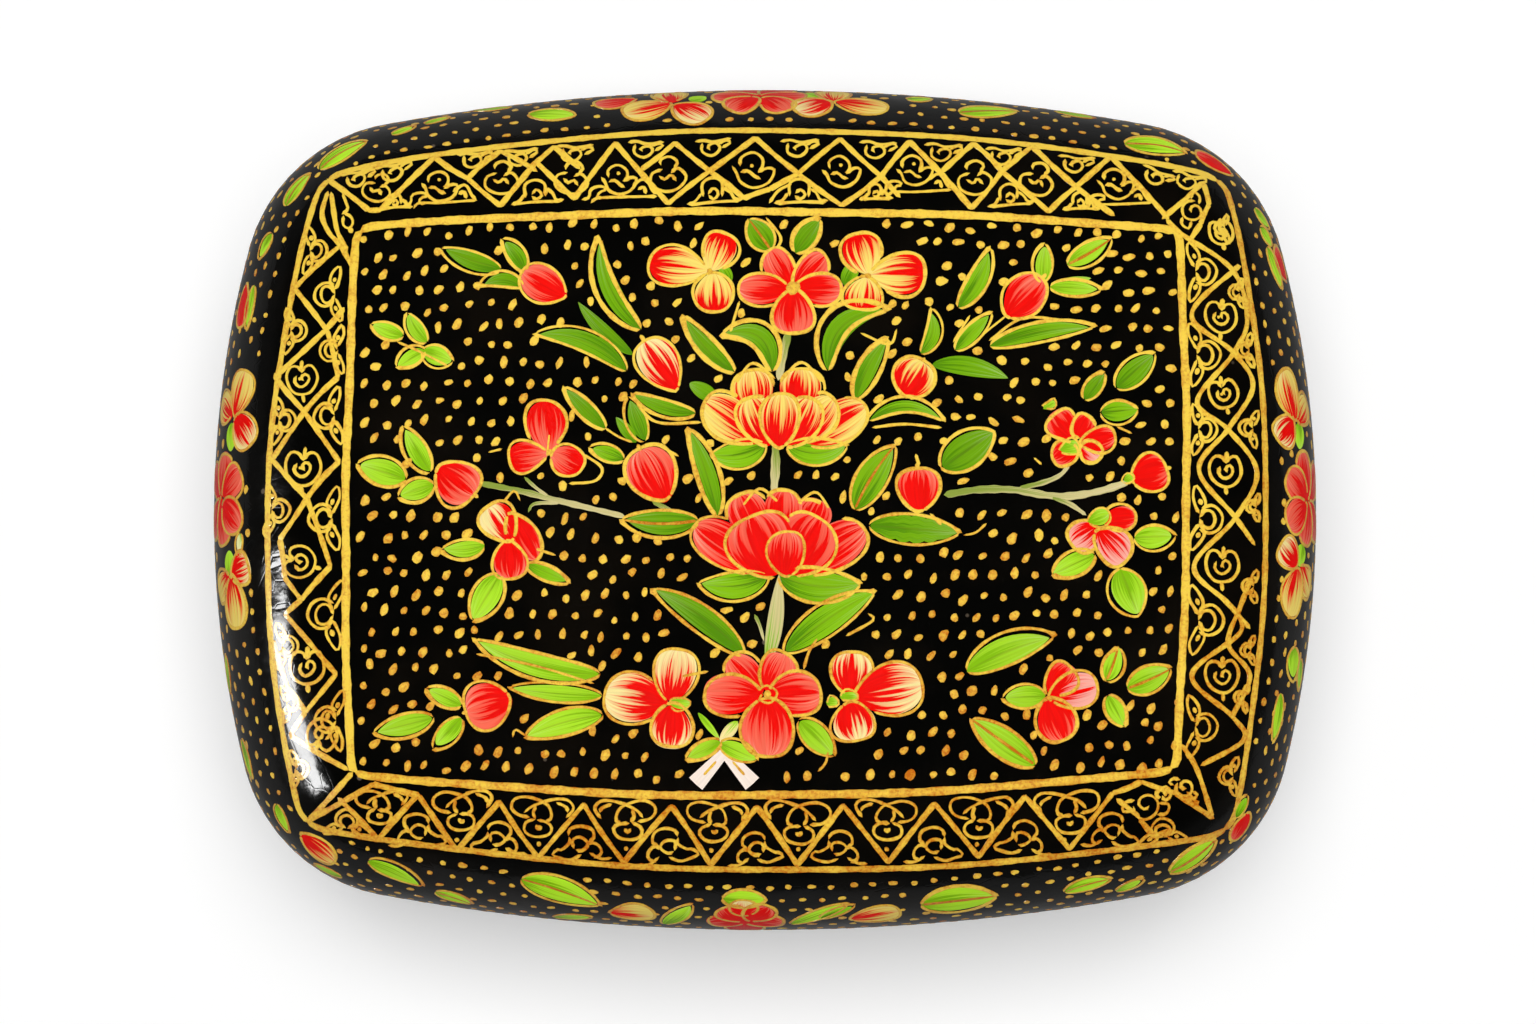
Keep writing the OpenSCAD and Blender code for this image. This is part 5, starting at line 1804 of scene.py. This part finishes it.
class SetStage(bpy.types.Operator):
    """Set the studio: a white floor, a soft box to the left, an overhead fill and the camera"""

    bl_idname = "painted_box.stage"
    bl_label = "Stage"

    def execute(self, context):
        studio, scene = context.scene.studio, context.scene
        scene.view_settings.view_transform = "Standard"
        self._floor(studio)
        self._world(scene, studio)
        window = self._soft_box(scene, "window_light", azimuth=199, polar=63, distance=1.0,
                                size=(0.54, 0.27), radiance=studio.window)
        window.visible_diffuse = False
        overhead = self._soft_box(scene, "overhead_light", azimuth=90, polar=4, distance=1.5,
                                  size=(0.8, 0.8), radiance=studio.overhead)
        overhead.visible_glossy = False
        self._camera(scene, studio)
        return {"FINISHED"}

    @staticmethod
    def _floor(studio):
        """White paper: grey to the light that it throws back, and white to the camera."""
        f = Finish("floor_paper")
        f.tree.nodes.remove(f.surface)
        path = f.node("ShaderNodeLightPath")
        seen = f.math("MAXIMUM", path.outputs["Is Camera Ray"],
                      f.math("MAXIMUM", f.math("MULTIPLY", path.outputs["Is Glossy Ray"], 0.04),
                             path.outputs["Is Transmission Ray"]))
        paper = f.node("ShaderNodeBsdfDiffuse",
                       {"Color": f.grey(f.ramp(seen, 0.0, 1.0, 0.2, 0.8))}).outputs[0]
        glow = f.node("ShaderNodeEmission",
                      {"Color": WHITE, "Strength": studio.floor_glow}).outputs[0]
        both = f.node("ShaderNodeAddShader", {0: paper, 1: glow}).outputs[0]
        choice = f.node("ShaderNodeMixShader", {0: seen, 1: paper, 2: both})
        f.put(f.tree.nodes["Material Output"].inputs["Surface"], choice.outputs[0])
        corners = np.array([(x, y, 0) for x, y in ((-1, -1), (1, -1), (1, 1), (-1, 1))])
        finished_mesh("floor", corners * FLOOR_REACH, [np.array([[0, 1, 2, 3]])],
                               [f.material])

    @staticmethod
    def _world(scene, studio):
        """White to the camera. To all else a dark room over a pale backdrop low round the box,
        which the lacquer hardly reflects."""
        world = bpy.data.worlds.new("room")
        world.use_nodes = True
        world.node_tree.nodes.clear()
        w = Graph(world.node_tree)
        path = w.node("ShaderNodeLightPath")
        way = w.node("ShaderNodeTexCoord").outputs["Generated"]
        rise = w.node("ShaderNodeSeparateXYZ", {0: way}).outputs[2]
        grade = w.ramp(rise, 0.05, 0.42, studio.backdrop, studio.room)
        gloss = w.node("ShaderNodeMapRange", {"Value": path.outputs["Is Glossy Ray"],
                                              "To Min": 1.0, "To Max": 0.05}).outputs["Result"]
        room = w.node("ShaderNodeBackground",
                      {"Color": WHITE, "Strength": w.math("MULTIPLY", grade, gloss)})
        white = w.node("ShaderNodeBackground", {"Color": WHITE, "Strength": 1.0})
        choice = w.node("ShaderNodeMixShader", {0: path.outputs["Is Camera Ray"],
                                                1: room.outputs[0], 2: white.outputs[0]})
        w.node("ShaderNodeOutputWorld", {"Surface": choice.outputs[0]})
        scene.world = world

    @staticmethod
    def _soft_box(scene, name, azimuth, polar, distance, size, radiance):
        """A rectangular lamp aimed at the box from two angles in degrees, round from +X and down
        from straight above; its power gives the asked radiance."""
        lamp = bpy.data.lights.new(name, "AREA")
        lamp.shape = "RECTANGLE"
        lamp.size, lamp.size_y = size
        lamp.energy = radiance * math.pi * size[0] * size[1]
        thing = bpy.data.objects.new(name, lamp)
        a, p = math.radians(azimuth), math.radians(polar)
        away = Vector((math.sin(p) * math.cos(a), math.sin(p) * math.sin(a), math.cos(p)))
        thing.location = LIT_POINT + away * distance
        thing.rotation_euler = away.to_track_quat("Z", "Y").to_euler()
        scene.collection.objects.link(thing)
        return thing

    @staticmethod
    def _camera(scene, studio):
        """Straight above, tilted a little to the front, with a long lens."""
        camera = bpy.data.cameras.new("camera")
        camera.sensor_width, camera.lens = 36.0, studio.lens
        camera.clip_start = 0.01
        thing = bpy.data.objects.new("camera", camera)
        away = Vector((0, -math.sin(studio.tilt), math.cos(studio.tilt)))
        thing.location = CAMERA_AIM + studio.distance * away
        thing.rotation_euler = (studio.tilt, 0, 0)
        scene.collection.objects.link(thing)
        scene.camera = thing


PROPERTY_GROUPS = (("box_shape", BoxShape), ("paint_sizes", PaintSizes),
                   ("paint_colours", PaintColours), ("studio", StudioSettings))
OPERATORS = (MakeBase, MakeCollar, MakeLid, PaintField, GildBorder, PaintLidSides, PaintBaseSides,
             SetStage)


class PaintedBoxPanel(bpy.types.Panel):
    """The steps of the painted box, in order, and its settings"""

    bl_idname = "VIEW3D_PT_painted_box"
    bl_label = "Painted Box"
    bl_space_type = "VIEW_3D"
    bl_region_type = "UI"
    bl_category = "Painted Box"

    def draw(self, context):
        for operator in OPERATORS:
            self.layout.operator(operator.bl_idname)
        for name, group in PROPERTY_GROUPS:
            box = self.layout.box()
            for setting in group.__annotations__:
                box.prop(getattr(context.scene, name), setting)


def register():
    for _, group in PROPERTY_GROUPS:
        bpy.utils.register_class(group)
    for name, group in PROPERTY_GROUPS:
        setattr(bpy.types.Scene, name, PointerProperty(type=group))
    for operator in OPERATORS:
        bpy.utils.register_class(operator)
    bpy.utils.register_class(PaintedBoxPanel)


def unregister():
    bpy.utils.unregister_class(PaintedBoxPanel)
    for operator in reversed(OPERATORS):
        bpy.utils.unregister_class(operator)
    for name, group in reversed(PROPERTY_GROUPS):
        delattr(bpy.types.Scene, name)
        bpy.utils.unregister_class(group)


def main():
    """Registers the add-on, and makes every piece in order."""
    register()
    for step in (bpy.ops.painted_box.base, bpy.ops.painted_box.collar, bpy.ops.painted_box.lid,
                 bpy.ops.painted_box.field, bpy.ops.painted_box.border,
                 bpy.ops.painted_box.lid_sides, bpy.ops.painted_box.base_sides,
                 bpy.ops.painted_box.stage):
        step()


if __name__ == "__main__":
    main()
